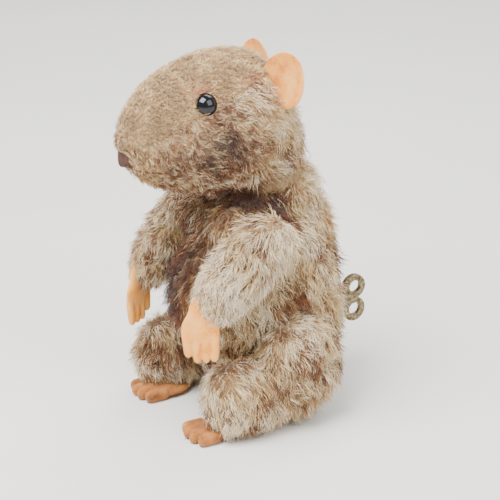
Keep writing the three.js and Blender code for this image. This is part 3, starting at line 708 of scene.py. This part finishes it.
# Arm sections, from above the shoulder to the wrist: share of the way, half width, half
# depth, sag below the straight line, the last three in mm.
ARM_ROWS = [
    (-0.33, 6, 8, 0), (0, 6.3, 8.9, 0), (0.4, 6.5, 9.1, 0.8), (0.75, 6.4, 9, 2.4), (1.1, 6, 8.2, 4),
]
ARM_MIDDLE = 20  # the arm's middle line starts this far out, in mm
ARM_ABOVE = 8.2  # how far the arm goes on above the shoulder pin, in mm
ARM_PAST = {"left": 2, "right": 3.5}  # how far it goes on past the wrist, in mm
HAND_HEEL = (0.6, 1.6)  # the wrist is this far in from the hand's middle and before it, in mm

# Head sections, from the nose back: place in Y, top, bottom, half width, in mm.
HEAD_ROWS = [
    (-39, 89.4, 75.6, 5.6), (-35.2, 94, 71.6, 9.2), (-29, 98.6, 68.6, 12.4), (-21, 102.2, 66.2, 15),
    (-12, 104.5, 64.4, 16.8), (-4, 104.6, 63.8, 17.2), (2, 102.6, 64.2, 16), (7.5, 97, 65, 13.6),
    (12, 88.6, 66.2, 11), (15.6, 81, 67.4, 8),
]
# Seam between the clipped gusset and the long pile: place in Y and height, in mm.
GUSSET_SEAM = [(-40, 80.6), (-33, 84.6), (-20, 91.6), (-4, 97.6), (6, 99), (18, 100)]


def settings():
    """The sizes of the covers and the pile."""
    return bpy.context.scene.mouse_plush


def rows_along_z(table, inset):
    """Turns a table in mm into shares of its length and sizes in metres."""
    low, high = table[0][0], table[-1][0]
    return [
        ((z - low) / (high - low), x * MM, y * MM, wide * MM - inset, deep * MM - inset)
        for z, x, y, wide, deep in table
    ]


def press_round_limbs(obj):
    """Pushes the torso's flanks in where the thighs and the arms lie against them."""
    places = points(obj)
    floor, middle, half_y, half_z, rise = metres(*THIGH_HOLLOW)
    arm_in, radius, arm_rise = metres(*ARM_HOLLOW)
    for name, side in SIDES.items():
        leg = Space(f"leg_{name}")
        arm = SHOULDER[name]
        reach = ((places[:, 1] - middle) / half_y) ** 2 + ((places[:, 2] - leg.middle.z) / half_z) ** 2
        limit = np.where(reach < 1, floor + reach ** 2 * rise, 1)
        reach = np.hypot(places[:, 1] - arm.y, places[:, 2] - arm.z) / radius
        limit = np.minimum(limit, np.where(reach < 1, abs(arm.x) - arm_in + reach ** 2 * arm_rise, 1))
        places[:, 0] = np.where(side * places[:, 0] > limit, side * limit, places[:, 0])
    set_points(obj, places)


def sit(obj, floor=0.4 * MM):
    """Presses what would be below the floor flat on it."""
    places = points(obj)
    places[:, 2] = np.maximum(places[:, 2], floor)
    set_points(obj, places)


def torso_cover():
    """The body's cover, from the seat to the shoulders, with the ball of the neck on it."""
    inset = settings().pile_depth
    table = [(z, 0, y, wide, deep) for z, y, wide, deep in TORSO_ROWS]
    obj = lathe_like(
        "torso_cover", TORSO_ROWS[0][0] * MM, TORSO_ROWS[-1][0] * MM, rows_along_z(table, inset), bluntness=8,
    )
    places = points(obj)
    heights, middles, _, depths = np.array(TORSO_ROWS).T * MM
    forward = np.interp(places[:, 2], heights, middles) - places[:, 1]
    forward = np.clip(forward / np.interp(places[:, 2], heights, depths), 0, 1)
    reach, height, half = metres(*BELLY)
    level = np.minimum(1, np.abs(places[:, 2] - height) / half)
    places[:, 1] -= reach * np.cos(level * math.pi / 2) ** 2 * forward ** 2.5
    set_points(obj, places)
    neck_radius = BODY.high.z - NECK.z - NECK_GAP * MM
    neck = ball("neck_cover", NECK, (neck_radius,) * 3)
    nape = ball("nape", metres(*NAPE[0]), metres(*NAPE[1]))
    (out, behind, above), radii = (metres(*sizes) for sizes in SHOULDER_BALL)
    shoulders = [
        ball("shoulder", (side * out, SHOULDER[name].y + behind, SHOULDER[name].z + above), radii)
        for name, side in SIDES.items()
    ]
    obj = join([obj, neck, nape, *shoulders], "torso_cover")
    sit(obj)
    soften(obj, 1.8 * MM, 0.8 * MM)
    press_round_limbs(obj)
    apply_modifier(obj, "SMOOTH", factor=0.5, iterations=3)
    sit(obj)
    return obj


def leg_cover(name):
    """A thigh and a shin in one stuffed piece, blunt at the front and flat underneath."""
    space = Space(f"leg_{name}")
    side = SIDES[name]
    inset = settings().pile_depth
    (x, y, z), radii = (metres(*sizes) for sizes in THIGH)
    balls = [ball("thigh", (side * x, y, z), [size - inset for size in radii])]
    x = side * (max(abs(space.low.x), abs(space.high.x)) - SHIN_IN * MM)
    for part, (behind, height, radii) in SHIN_BALLS.items():
        centre = (x, space.low.y + behind * MM, height * MM)
        balls.append(ball(part, centre, [size - inset for size in metres(*radii)]))
    obj = join(balls, f"leg_cover_{name}")
    soften(obj, 1.5 * MM, 0.6 * MM)
    sit(obj)
    foot = Space(f"foot_{name}")
    places = points(obj)
    over_foot = places[:, 1] < foot.high.y
    places[over_foot, 2] = np.maximum(places[over_foot, 2], foot.high.z - 0.6 * MM)
    set_points(obj, places)
    apply_modifier(obj, "SMOOTH", factor=0.5, iterations=2)
    return obj


def wrist_of(name):
    """Where the hand's heel is, at the top of the hand."""
    hand = Space(f"hand_{name}")
    inward, forward = metres(*HAND_HEEL)
    return Vector((hand.middle.x - SIDES[name] * inward, hand.middle.y - forward, hand.high.z))


def arm_line(name):
    """The ends of the arm's middle line, at the shoulder and at the wrist."""
    return Vector((SIDES[name] * ARM_MIDDLE * MM, *SHOULDER[name].yz)), wrist_of(name)


def arm_cover(name):
    """An arm: thick at the shoulder, a little thinner at the wrist."""
    top, wrist = arm_line(name)
    along = wrist - top
    inset = settings().pile_depth * 0.8
    length = along.length / MM
    table = [(share * length, 0, -sag, wide, deep) for share, wide, deep, sag in ARM_ROWS]
    obj = lathe_like(
        f"arm_cover_{name}", -ARM_ABOVE * MM, (length + ARM_PAST[name]) * MM, rows_along_z(table, inset),
        bluntness=4, segments=28, rings=20,
    )
    obj.rotation_mode = "QUATERNION"
    obj.rotation_quaternion = Vector((0, 0, 1)).rotation_difference(along)
    obj.location = top
    apply_place(obj)
    soften(obj, 1.3 * MM, 0.5 * MM)
    return obj


def head_cover():
    """The head, from the nose to the nape, on the ball of the neck."""
    inset = settings().pile_depth * 0.6
    table = [(y, 0, -(top + bottom) / 2, wide, (top - bottom) / 2) for y, top, bottom, wide in HEAD_ROWS]
    obj = lathe_like(
        "head_cover", HEAD_ROWS[0][0] * MM, HEAD_ROWS[-1][0] * MM, rows_along_z(table, inset), bluntness=7,
        segments=48, rings=36,
    )
    places = points(obj)
    set_points(obj, np.stack([places[:, 0], places[:, 2], -places[:, 1]], axis=1))
    soften(obj, 1.2 * MM, 0.5 * MM)
    return obj


def gusset_edge(places):
    """Height of the seam between the clipped gusset and the long pile, at each place."""
    return np.interp(places[:, 1] / MM, *zip(*GUSSET_SEAM)) * MM


# ---- Operators ----------------------------------------------------------------------


class MOUSE_OT_covers(bpy.types.Operator):
    """Makes the stuffed covers of the torso, the legs, the arms and the head"""

    bl_idname = "mouse.covers"
    bl_label = "Stuffed covers"

    def execute(self, context):
        ground = mohair_cloth()
        torso = finish(torso_cover(), "torso", ground, ["body_plush"])
        for name in SIDES:
            leg = finish(leg_cover(name), "torso", ground, [f"leg_{name}"])
            arm = finish(arm_cover(name), f"{name}_arm", ground, [f"arm_{name}"])
        head = finish(head_cover(), "head", clipped_ground(), ["head_plush"])
        return {"FINISHED"}


# Fibres to a square mm, by piece.
FIBRES_PER_MM2 = {"torso": 4.9, "leg": 5.5, "arm": 6.0, "cheeks": 6.3, "gusset": 15}

# The long pile: how far its lie turns at most in radians, how much it stands off the cover,
# how many of its fibres lead a lock, and how far they pull the others to them.
SWIRL = 1.2
LIFT = 0.3
LEADERS = 0.09
CLUMP = 0.34

# Where no pile grows: under this height, and this near to the neck's middle line, the key's
# line, the ball of the neck under the head and a shoulder pin, in mm.
BARE_SEAT = 0.8
BARE_NECK = 10.5
BARE_KEY = 2.9
BARE_SOCKET = 12.2
BARE_PIN = 7


class MOUSE_OT_pile(bpy.types.Operator):
    """Lays the long mohair pile on the torso, the legs, the arms and the cheeks"""

    bl_idname = "mouse.pile"
    bl_label = "Mohair pile"

    def execute(self, context):
        rng = np.random.default_rng(11)
        self.torso(rng)
        for name in SIDES:
            self.leg(name, rng)
            self.arm(name, rng)
        self.cheeks(rng)
        return {"FINISHED"}

    def lay(self, cover, body, rng, per_mm2, keep, flow, tone, length, droop=0.35):
        """Pile on a cover. keep, flow, tone and length take the roots and give, for each: whether
        it grows, which way it lies, how dark and how pale it is, and its share of the full length."""
        plush = settings()
        roots, normals = scatter(bpy.data.objects[cover], per_mm2 * plush.density, rng, keep)
        lie = comb(roots, normals, flow(roots), SWIRL, seed=len(cover))
        size = plush.pile_length * (0.6 + 0.6 * rng.random(len(roots))) * length(roots)
        rise = np.clip(LIFT + rng.normal(0, 0.12, len(roots)), 0.1, 0.9)
        lock, apart = locks(roots, LEADERS, rng)
        line = strands(roots, normals, lie, size, rise, droop, rng, lock, apart, CLUMP)
        width = plush.fibre_width * (0.75 + 0.5 * rng.random(len(roots)))
        shades = mohair_shades(*tone(roots), lock, rng)
        lay_pile(cover.replace("cover", "pile"), line, width, shades, body)

    def torso(self, rng):
        legs = [Space(f"leg_{name}") for name in SIDES]
        key = Space("winding_key")

        def keep(places, normals):
            low = places[:, 2] < BARE_SEAT * MM
            near_neck = np.hypot(places[:, 0], places[:, 1] - NECK.y) <= BARE_NECK * MM
            hidden = (places[:, 2] > NECK.z) & near_neck
            for leg in legs:
                hidden |= inside_ball(places, leg.at(0.5, 0.62, 0.5), leg.size * 0.4)
            tunnel = np.hypot(places[:, 0], places[:, 2] - key.middle.z) < BARE_KEY * MM
            return ~low & ~hidden & ~(tunnel & (places[:, 1] > 0))

        def flow(places):
            down = np.tile([0.0, 0.3, -1.0], (len(places), 1))
            down[:, 0] += 0.3 * np.sign(places[:, 0])
            return down

        def tone(places):
            darkness = patchy(places, 0.31, 0.6, 6, 1, 2.2) + darker(places, "torso")
            return darkness, patchy(places, 0.5, 0.9, 11, 5)

        def length(places):
            belly = near(places, metres(-6, -24, 32), metres(10, 8, 12))
            return 1 + 0.3 * np.clip((places[:, 2] - 55 * MM) / (8 * MM), 0, 1) + 0.5 * belly

        self.lay("torso_cover", "torso", rng, FIBRES_PER_MM2["torso"], keep, flow, tone, length)

    def leg(self, name, rng):
        side = SIDES[name]
        foot = Space(f"foot_{name}")

        def keep(places, normals):
            inner = (side * normals[:, 0] < -0.75) & (places[:, 1] > -8 * MM)
            front = places[:, 1] < foot.low.y + 9 * MM
            on_foot = front & (places[:, 2] < foot.high.z) & (normals[:, 2] < -0.5)
            return (places[:, 2] > BARE_SEAT * MM) & ~inner & ~on_foot

        def flow(places):
            return np.tile([0.2 * side, 0.35, -1.0], (len(places), 1))

        def tone(places):
            darkness = patchy(places, 0.31, 0.6, 6, 2 + side, 1.6) + darker(places, "leg")
            return darkness, patchy(places, 0.52, 0.9, 9, 6)

        def length(places):
            low_front = (places[:, 1] < foot.low.y + 8 * MM) & (places[:, 2] < 9 * MM)
            return np.where(low_front, 0.6, 0.92)

        self.lay(f"leg_cover_{name}", "torso", rng, FIBRES_PER_MM2["leg"], keep, flow, tone, length)

    def arm(self, name, rng):
        side = SIDES[name]
        top, wrist = arm_line(name)
        along = np.array((wrist - top).normalized())

        def share_of(places):
            return (places - np.array(top)) @ along / (wrist - top).length

        def keep(places, normals):
            from_pin = np.hypot(places[:, 1] - SHOULDER[name].y, places[:, 2] - SHOULDER[name].z)
            inner = (side * normals[:, 0] < -0.6) & (from_pin < BARE_PIN * MM)
            end = (normals @ along > 0.8) & (share_of(places) > 0)
            return ~inner & ~end

        def flow(places):
            return np.tile(along * 1.2 + np.array([0.25 * side, 0.15, -0.4]), (len(places), 1))

        def tone(places):
            share = np.clip(share_of(places), 0, 1)
            darkness, paleness = (0.3 - 0.24 * share, 0.62 + 0.3 * share) if side > 0 else (0.36, 0.58)
            return patchy(places, darkness, 0.5, 6, 8 + side), patchy(places, paleness, 0.7, 9, 4)

        def length(places):
            return 1.25 - 0.6 * np.clip(share_of(places), 0, 1)

        self.lay(f"arm_cover_{name}", f"{name}_arm", rng, FIBRES_PER_MM2["arm"], keep, flow, tone, length)

    def cheeks(self, rng):
        eyes = [Space(f"eye_{name}") for name in SIDES]
        ears = [Space(f"ear_{name}") for name in SIDES]
        nose = Space("nose_stitching")

        def keep(places, normals):
            side = places[:, 2] < gusset_edge(places) + 0.5 * MM
            bare = np.linalg.norm(places - np.array(NECK), axis=1) < BARE_SOCKET * MM
            bare |= inside_ball(places, nose.middle, nose.size * 0.42)
            for eye in eyes:
                bare |= inside_ball(places, eye.middle, eye.size * 0.53)
            for ear in ears:
                bare |= inside_ball(places, ear.middle + Vector((0, -1, -1)) * MM, ear.size * 0.5)
            return side & ~bare

        def flow(places):
            back = np.tile([0.0, 0.9, -0.45], (len(places), 1))
            back[:, 2] -= 1.3 * np.clip((places[:, 1] + 12 * MM) / (22 * MM), 0, 1)
            back[:, 1] -= 0.6 * np.clip((places[:, 1] + 4 * MM) / (16 * MM), 0, 1)
            return back

        def tone(places):
            muzzle = np.clip((-18 * MM - places[:, 1]) / (10 * MM), 0, 1)
            darkness = patchy(places, 0.35, 0.5, 6, 9) + darker(places, "head")
            return darkness, patchy(places, 0.5 - 0.25 * muzzle, 0.8, 9, 7)

        def length(places):
            back = np.clip((places[:, 1] + 30 * MM) / (30 * MM), 0, 1)
            low = np.clip((78 * MM - places[:, 2]) / (8 * MM), 0, 1)
            under = low * np.clip((places[:, 1] + 8 * MM) / (8 * MM), 0, 1)
            return 0.45 + 0.36 * back + 0.7 * under

        self.lay("head_cover", "head", rng, FIBRES_PER_MM2["cheeks"], keep, flow, tone, length, droop=0.2)


# Marks in the clipped pile: the middle and the reach of each, in mm.
BROW_MARK = ((-0.5, -19.5, 102), (1.5, 5, 6))
ROSY_ABOVE_EYE = ((11.5, -22, 97), (4.5, 6, 3.5))
ROSY_BEFORE_EAR = ((13, -6, 99), (3, 8, 3))


class MOUSE_OT_clipped(bpy.types.Operator):
    """Lays the clipped pile of the gusset over the top of the head"""

    bl_idname = "mouse.clipped_pile"
    bl_label = "Clipped pile"

    def execute(self, context):
        plush = settings()
        rng = np.random.default_rng(23)
        eyes = [Space(f"eye_{name}") for name in SIDES]
        ears = [Space(f"ear_{name}") for name in SIDES]
        nose = Space("nose_stitching")

        def keep(places, normals):
            top = places[:, 2] > gusset_edge(places)
            bare = inside_ball(places, nose.middle, nose.size * 0.42)
            for eye in eyes:
                bare |= inside_ball(places, eye.middle, eye.size * 0.52)
            for ear in ears:
                bare |= inside_ball(places, ear.middle + Vector((0, -1, 0)) * MM, ear.size * 0.45)
            return top & ~bare

        per_mm2 = FIBRES_PER_MM2["gusset"] * plush.density
        roots, normals = scatter(bpy.data.objects["head_cover"], per_mm2, rng, keep)
        count = len(roots)
        flow = np.tile([0.0, 1.0, -0.1], (count, 1))
        lie = comb(roots, normals, flow, 0.5, seed=2)
        length = plush.clipped_length * (0.8 + 0.4 * rng.random(count))
        lift = np.clip(0.5 + rng.normal(0, 0.12, count), 0.2, 0.9)
        lock, apart = locks(roots, 0.15, rng)
        line = strands(roots, normals, lie, length, lift, 0.05, rng, lock, apart, clump=0.3, rings=2)
        tone = mottle(roots, 4 * MM, 12) + rng.normal(0, 0.1, count)[lock] + rng.normal(0, 0.06, count)
        # Brown tips along the seam of the gusset are painted shade in the crease there; those at the brow are
        # a real brown mark.
        seam = np.exp(-((roots[:, 2] - gusset_edge(roots)) / (0.9 * MM)) ** 2)
        mark = near(roots, *(metres(*sizes) for sizes in BROW_MARK))
        brow_mark_and_seam_shade = 0.6 * seam + 1.3 * mark + 0.25 * rng.random(count)
        tip = np.select(
            [brow_mark_and_seam_shade > 0.68, tone > 0.66, tone > 0.5], [SHADE["brown"], SHADE["cream"], SHADE["straw"]],
            SHADE["ash"],
        )
        root = np.where(tone > 0.5, SHADE["straw"], SHADE["tan"])
        for side in SIDES.values():
            above_eye, before_ear = (
                near(roots, metres(side * x, y, z), metres(*reach))
                for (x, y, z), reach in (ROSY_ABOVE_EYE, ROSY_BEFORE_EAR)
            )
            rosy = above_eye + 0.9 * before_ear > 0.15 + 0.75 * rng.random(count)
            tip = np.where(rosy, SHADE["rose"], tip)
        width = plush.fibre_width * (0.8 + 0.4 * rng.random(count))
        lay_pile("gusset_pile", line, width, np.stack([root, tip], axis=1), "head")
        return {"FINISHED"}


def felt_from(objects, name, voxel):
    """Presses shapes together into one piece of felt with soft edges. The voxel is in mm."""
    obj = join(objects, name)
    apply_modifier(obj, "REMESH", mode="VOXEL", voxel_size=voxel * MM)
    apply_modifier(obj, "SMOOTH", factor=0.5, iterations=2)
    return obj


def digit(name, half_width, half_depth, low, high):
    """A blunt finger or toe along Z, its sizes in mm."""
    rows = [(share, 0, 0, half_width * MM, half_depth * MM) for share in (0, 1)]
    return lathe_like(name, low * MM, high * MM, rows, bluntness=6, segments=16, rings=14)


def put(obj, location, turn, order="XYZ"):
    """Turns a piece about the origin, moves it, and puts its place in its mesh."""
    obj.rotation_mode = order
    obj.rotation_euler = turn
    obj.location = location
    apply_place(obj)


# Felt, in mm. An ear: half width, half thickness and half height, its lean, then for each
# side how far it is from the middle of the CAD's, and its turn about Z in radians.
EAR_SIZE = (7.1, 0.95, 8)
EAR_LEAN = 0.35  # outwards, in radians
EAR_PLACE = {"left": ((0, 0.9, 0.2), 0.32), "right": ((0, 2.8, -1.4), 0.12)}
# A hand: the palm's sections, as height, middle in X and Y, half width and half depth, then the
# places of its fingers across it, and for each side its lean and its turn about Z in degrees.
PALM_ROWS = [
    (-12, 0, 0, 4.9, 1.0), (-8.6, 0, 0, 5.2, 1.25), (-6, 0, 0, 4.8, 1.3), (-3, 0, 0, 3, 1.2),
    (1, 0, 0, 2, 1.1),
]
FINGERS = (-4.2, -1.4, 1.4, 4.2)
HAND_TURN = {"left": (0, 58), "right": (5, 64)}
# A foot: the sole and the instep as how far each is behind its middle, its height and its
# radii, then the places of its toes across it.
SOLES = {"sole": (0.8, 1.6, (6, 8, 1.6)), "instep": (-1, 1.9, (5.4, 6.4, 1.7))}
TOES = (-4.7, -1.6, 1.6, 4.7)


class MOUSE_OT_ears(bpy.types.Operator):
    """Makes the round, cupped felt ears"""

    bl_idname = "mouse.ears"
    bl_label = "Felt ears"

    def execute(self, context):
        felt = wool_felt("wool_felt_ears", "#A65A20", context.scene.mouse_felt.colour, "#F6B866")
        radii = metres(*EAR_SIZE)
        for name, side in SIDES.items():
            ear = ball(f"felt_ear_{name}", (0, 0, 0), radii, segments=48, rings=32)
            places = points(ear)
            across, up = places[:, 0] / radii[0], places[:, 2] / radii[2]
            rim = np.clip(across ** 2 + up ** 2 - 0.6, 0, 1)
            places[:, 1] += (-2.2 * (across ** 2 + 0.4 * up ** 2) - 1.1 * rim * (up > 0) * up) * MM
            places[:, 0] *= 1 - 0.12 * np.clip(-up, 0, 1) ** 2
            set_points(ear, places)
            apply_modifier(ear, "SUBSURF", levels=1, render_levels=1)
            shift, turn = EAR_PLACE[name]
            put(ear, Space(f"ear_{name}").middle + Vector(shift) * MM, (0, side * EAR_LEAN, turn))
            finish(ear, "head", felt, [f"ear_{name}"])
        return {"FINISHED"}


class MOUSE_OT_hands(bpy.types.Operator):
    """Makes the felt hands: a palm on a narrow heel, with four fingers"""

    bl_idname = "mouse.hands"
    bl_label = "Felt hands"

    def execute(self, context):
        felt = wool_felt("wool_felt_hands", "#A65A20", context.scene.mouse_felt.colour, "#F4B462")
        for name, side in SIDES.items():
            palm = rows_along_z(PALM_ROWS, 0)
            shapes = [lathe_like("palm", PALM_ROWS[0][0] * MM, PALM_ROWS[-1][0] * MM, palm, bluntness=10)]
            for i, across in enumerate(FINGERS):
                tip = -15.6 if i == 0 else -17.4 + 0.3 * abs(across) / FINGERS[-1]
                finger = digit("finger", 1.16, 1.05, tip, -8.0)
                put(finger, (across * 1.12 * MM, 0, 0), (0, math.radians(1.1 * across), 0))
                shapes.append(finger)
            hand = felt_from(shapes, f"felt_hand_{name}", voxel=0.2)
            lean, turn = (math.radians(angle) for angle in HAND_TURN[name])
            put(hand, wrist_of(name), (lean, -side * 0.1, side * turn), "ZXY")
            finish(hand, f"{name}_arm", felt, [f"hand_{name}"])
        return {"FINISHED"}


class MOUSE_OT_feet(bpy.types.Operator):
    """Makes the felt feet: a thick sole with four round toes"""

    bl_idname = "mouse.feet"
    bl_label = "Felt feet"

    def execute(self, context):
        felt = wool_felt("wool_felt_feet", "#54290C", context.scene.mouse_felt.worn_colour, "#BC7A36")
        for name in SIDES:
            space = Space(f"foot_{name}")
            x, front, back = space.middle.x, space.low.y, space.high.y
            shapes = [
                ball(part, (x, (front + back) / 2 + behind * MM, height * MM), metres(*radii))
                for part, (behind, height, radii) in SOLES.items()
            ]
            for i, across in enumerate(TOES):
                drawn_back = (abs(i - 1.5) - 0.5) * 1.1
                toe = digit("toe", 1.44, 1.8, 0, 7.4)
                put(toe, (x + across * MM, front + drawn_back * MM, 1.75 * MM), (math.radians(-90), 0, 0))
                shapes.append(toe)
            foot = felt_from(shapes, f"felt_foot_{name}", voxel=0.22)
            sit(foot, 0.05 * MM)
            finish(foot, "torso", felt, [f"foot_{name}"])
        return {"FINISHED"}


NOSE_PAD = (3.0, 1.5, 2.7)  # radii, in mm
NOSE_STITCHES = 13
MOUTH_STITCHES = 8  # on each side


class MOUSE_OT_face(bpy.types.Operator):
    """Embroiders the nose and the mouth"""

    bl_idname = "mouse.face"
    bl_label = "Embroidery"

    def execute(self, context):
        thread = cotton_thread("dark_cotton_thread", "#24110A", "#5E331A")
        mouth_thread = cotton_thread("russet_cotton_thread", "#3E1C0C", "#7C4524")
        space = Space("nose_stitching")
        centre = space.middle + Vector((0, 0.5, -0.8)) * MM
        shapes = [ball("nose_pad", centre, metres(*NOSE_PAD), segments=32, rings=20)]
        for i in range(NOSE_STITCHES):
            share = 2 * i / (NOSE_STITCHES - 1) - 1
            tall = 2.5 * math.sqrt(1 - 0.72 * share ** 2)
            deep = 1.55 * math.sqrt(max(0.05, 1 - share ** 2)) + 0.1
            shapes.append(ball(
                "stitch", centre + Vector((2.73 * share, 0.35 - deep, 0.1)) * MM, metres(0.27, 0.4, tall),
                segments=10, rings=12, turn=(0, math.radians(-9 * share), 0),
            ))
        nose = join(shapes, "nose_stitches")
        finish(nose, "head", thread, ["nose_stitching"])
        cover = bpy.data.objects["head_cover"]
        for name, side in SIDES.items():
            path = []
            for i in range(MOUTH_STITCHES + 1):
                t = i / MOUTH_STITCHES
                guess = Vector((side * (0.6 + 11 * t), -40 + 10 * t, 75.6 - 1.2 * t)) * MM
                _, where, normal, _ = cover.closest_point_on_mesh(guess)
                path.append((where, normal))
            stitches = []
            for (a, normal), (b, _) in zip(path, path[1:]):
                along = b - a
                stitches.append(ball(
                    "stitch", (a + b) / 2 + normal * 0.5 * MM, (0.26 * MM, 0.26 * MM, along.length * 0.58),
                    segments=10, rings=10, turn=along.to_track_quat("Z", "Y").to_euler(),
                ))
            mouth = join(stitches, f"mouth_stitches_{name}")
            finish(mouth, "head", mouth_thread)
        return {"FINISHED"}


class MOUSE_OT_eyes(bpy.types.Operator):
    """Makes the black glass eyes"""

    bl_idname = "mouse.eyes"
    bl_label = "Glass eyes"

    def execute(self, context):
        glass = black_glass()
        for name in SIDES:
            space = Space(f"eye_{name}")
            eye = ball(f"glass_eye_{name}", space.middle, space.size * 0.54, segments=48, rings=32)
            finish(eye, "head", glass, [f"eye_{name}"])
        return {"FINISHED"}


class MOUSE_OT_metal(bpy.types.Operator):
    """Gives the movement, the joints and the key their metals and card"""

    bl_idname = "mouse.metal"
    bl_label = "Movement finishes"

    def execute(self, context):
        finishes = {slot: worn_metal(*look) for slot, look in METALS.items()}
        finishes["cardboard"] = pressed_card()
        slots = {s["node"]: s["material_slot"] for s in frame["record"]["subparts"]}
        for name, obj in frame["nodes"].items():
            if slots[name] in finishes:
                obj.data.materials.clear()
                obj.data.materials.append(finishes[slots[name]])
        return {"FINISHED"}


def direction(azimuth, elevation):
    """The direction of a place seen from the mouse: azimuth 0 is in front of it, 90 to its left."""
    a, e = math.radians(azimuth), math.radians(elevation)
    return Vector((math.sin(a) * math.cos(e), -math.cos(a) * math.cos(e), math.sin(e)))


# Area lights: azimuth, elevation, distance and width in metres, and watts.
LIGHTS = {
    "key_light": (15, 60, 0.7, 0.5, 15.0),
    "fill_light": (110, 35, 0.9, 0.7, 7.0),
    "back_light": (215, 50, 0.8, 0.5, 5.0),
}
CAMERA_ANGLE = (60, 21)
CAMERA_LENS = 129.6
CAMERA_DISTANCE = 0.5
CAMERA_AIM = (50, 0.83, -4.17)  # a height, then how far to the right of it and above it, in mm


class MOUSE_OT_stage(bpy.types.Operator):
    """Makes the floor, the lights and the camera"""

    bl_idname = "mouse.stage"
    bl_label = "Floor, lights and camera"

    def execute(self, context):
        bpy.ops.object.select_all(action="DESELECT")
        bpy.ops.mesh.primitive_plane_add(size=6, location=(0, 0, 0))
        floor = added("floor")
        floor.data.materials.append(painted_floor())
        world = bpy.data.worlds.new("soft_daylight")
        context.scene.world = world
        world.use_nodes = True
        background = world.node_tree.nodes["Background"]
        background.inputs["Color"].default_value = linear("#E6EBF2")
        background.inputs["Strength"].default_value = 0.8
        middle = Vector((0, 0, HEIGHT / 2))
        for name, (azimuth, elevation, distance, size, watts) in LIGHTS.items():
            offset = direction(azimuth, elevation)
            lamp = bpy.data.lights.new(name, "AREA")
            lamp.energy = watts
            lamp.size = size
            lamp_object = bpy.data.objects.new(name, lamp)
            context.collection.objects.link(lamp_object)
            lamp_object.location = middle + offset * distance
            lamp_object.rotation_euler = (-offset).to_track_quat("-Z", "Y").to_euler()
        camera = bpy.data.cameras.new("camera")
        camera.sensor_width = 36
        camera.lens = CAMERA_LENS
        camera_object = bpy.data.objects.new("camera", camera)
        context.collection.objects.link(camera_object)
        back = direction(*CAMERA_ANGLE)
        right = Vector((0, 0, 1)).cross(back).normalized()
        up = back.cross(right)
        height, across, above = CAMERA_AIM
        aim = Vector((0, 0, height * MM)) + right * across * MM + up * above * MM
        camera_object.location = aim + back * CAMERA_DISTANCE
        camera_object.rotation_euler = (-back).to_track_quat("-Z", "Y").to_euler()
        context.scene.camera = camera_object
        return {"FINISHED"}


class MOUSE_PT_panel(bpy.types.Panel):
    """Lists the mouse's pieces and settings in the sidebar"""

    bl_label = "Clockwork Mouse"
    bl_space_type = "VIEW_3D"
    bl_region_type = "UI"
    bl_category = "Mouse"

    def draw(self, context):
        for group in (context.scene.mouse_plush, context.scene.mouse_felt):
            for key in group.__annotations__:
                self.layout.prop(group, key)
        for operator in OPERATORS:
            self.layout.operator(operator.bl_idname)


OPERATORS = (
    MOUSE_OT_stage, MOUSE_OT_covers, MOUSE_OT_pile, MOUSE_OT_clipped, MOUSE_OT_ears, MOUSE_OT_hands,
    MOUSE_OT_feet, MOUSE_OT_face, MOUSE_OT_eyes, MOUSE_OT_metal,
)
CLASSES = (PlushSettings, FeltSettings, *OPERATORS, MOUSE_PT_panel)


def register():
    """Adds the classes and their settings to Blender."""
    for made in CLASSES:
        bpy.utils.register_class(made)
    bpy.types.Scene.mouse_plush = bpy.props.PointerProperty(type=PlushSettings)
    bpy.types.Scene.mouse_felt = bpy.props.PointerProperty(type=FeltSettings)


def unregister():
    """Takes the settings and the classes out again."""
    del bpy.types.Scene.mouse_felt
    del bpy.types.Scene.mouse_plush
    for made in reversed(CLASSES):
        bpy.utils.unregister_class(made)


def main():
    """Builds the mouse."""
    register()
    for operator in OPERATORS:
        group, name = operator.bl_idname.split(".")
        getattr(getattr(bpy.ops, group), name)()


if __name__ == "__main__":
    main()
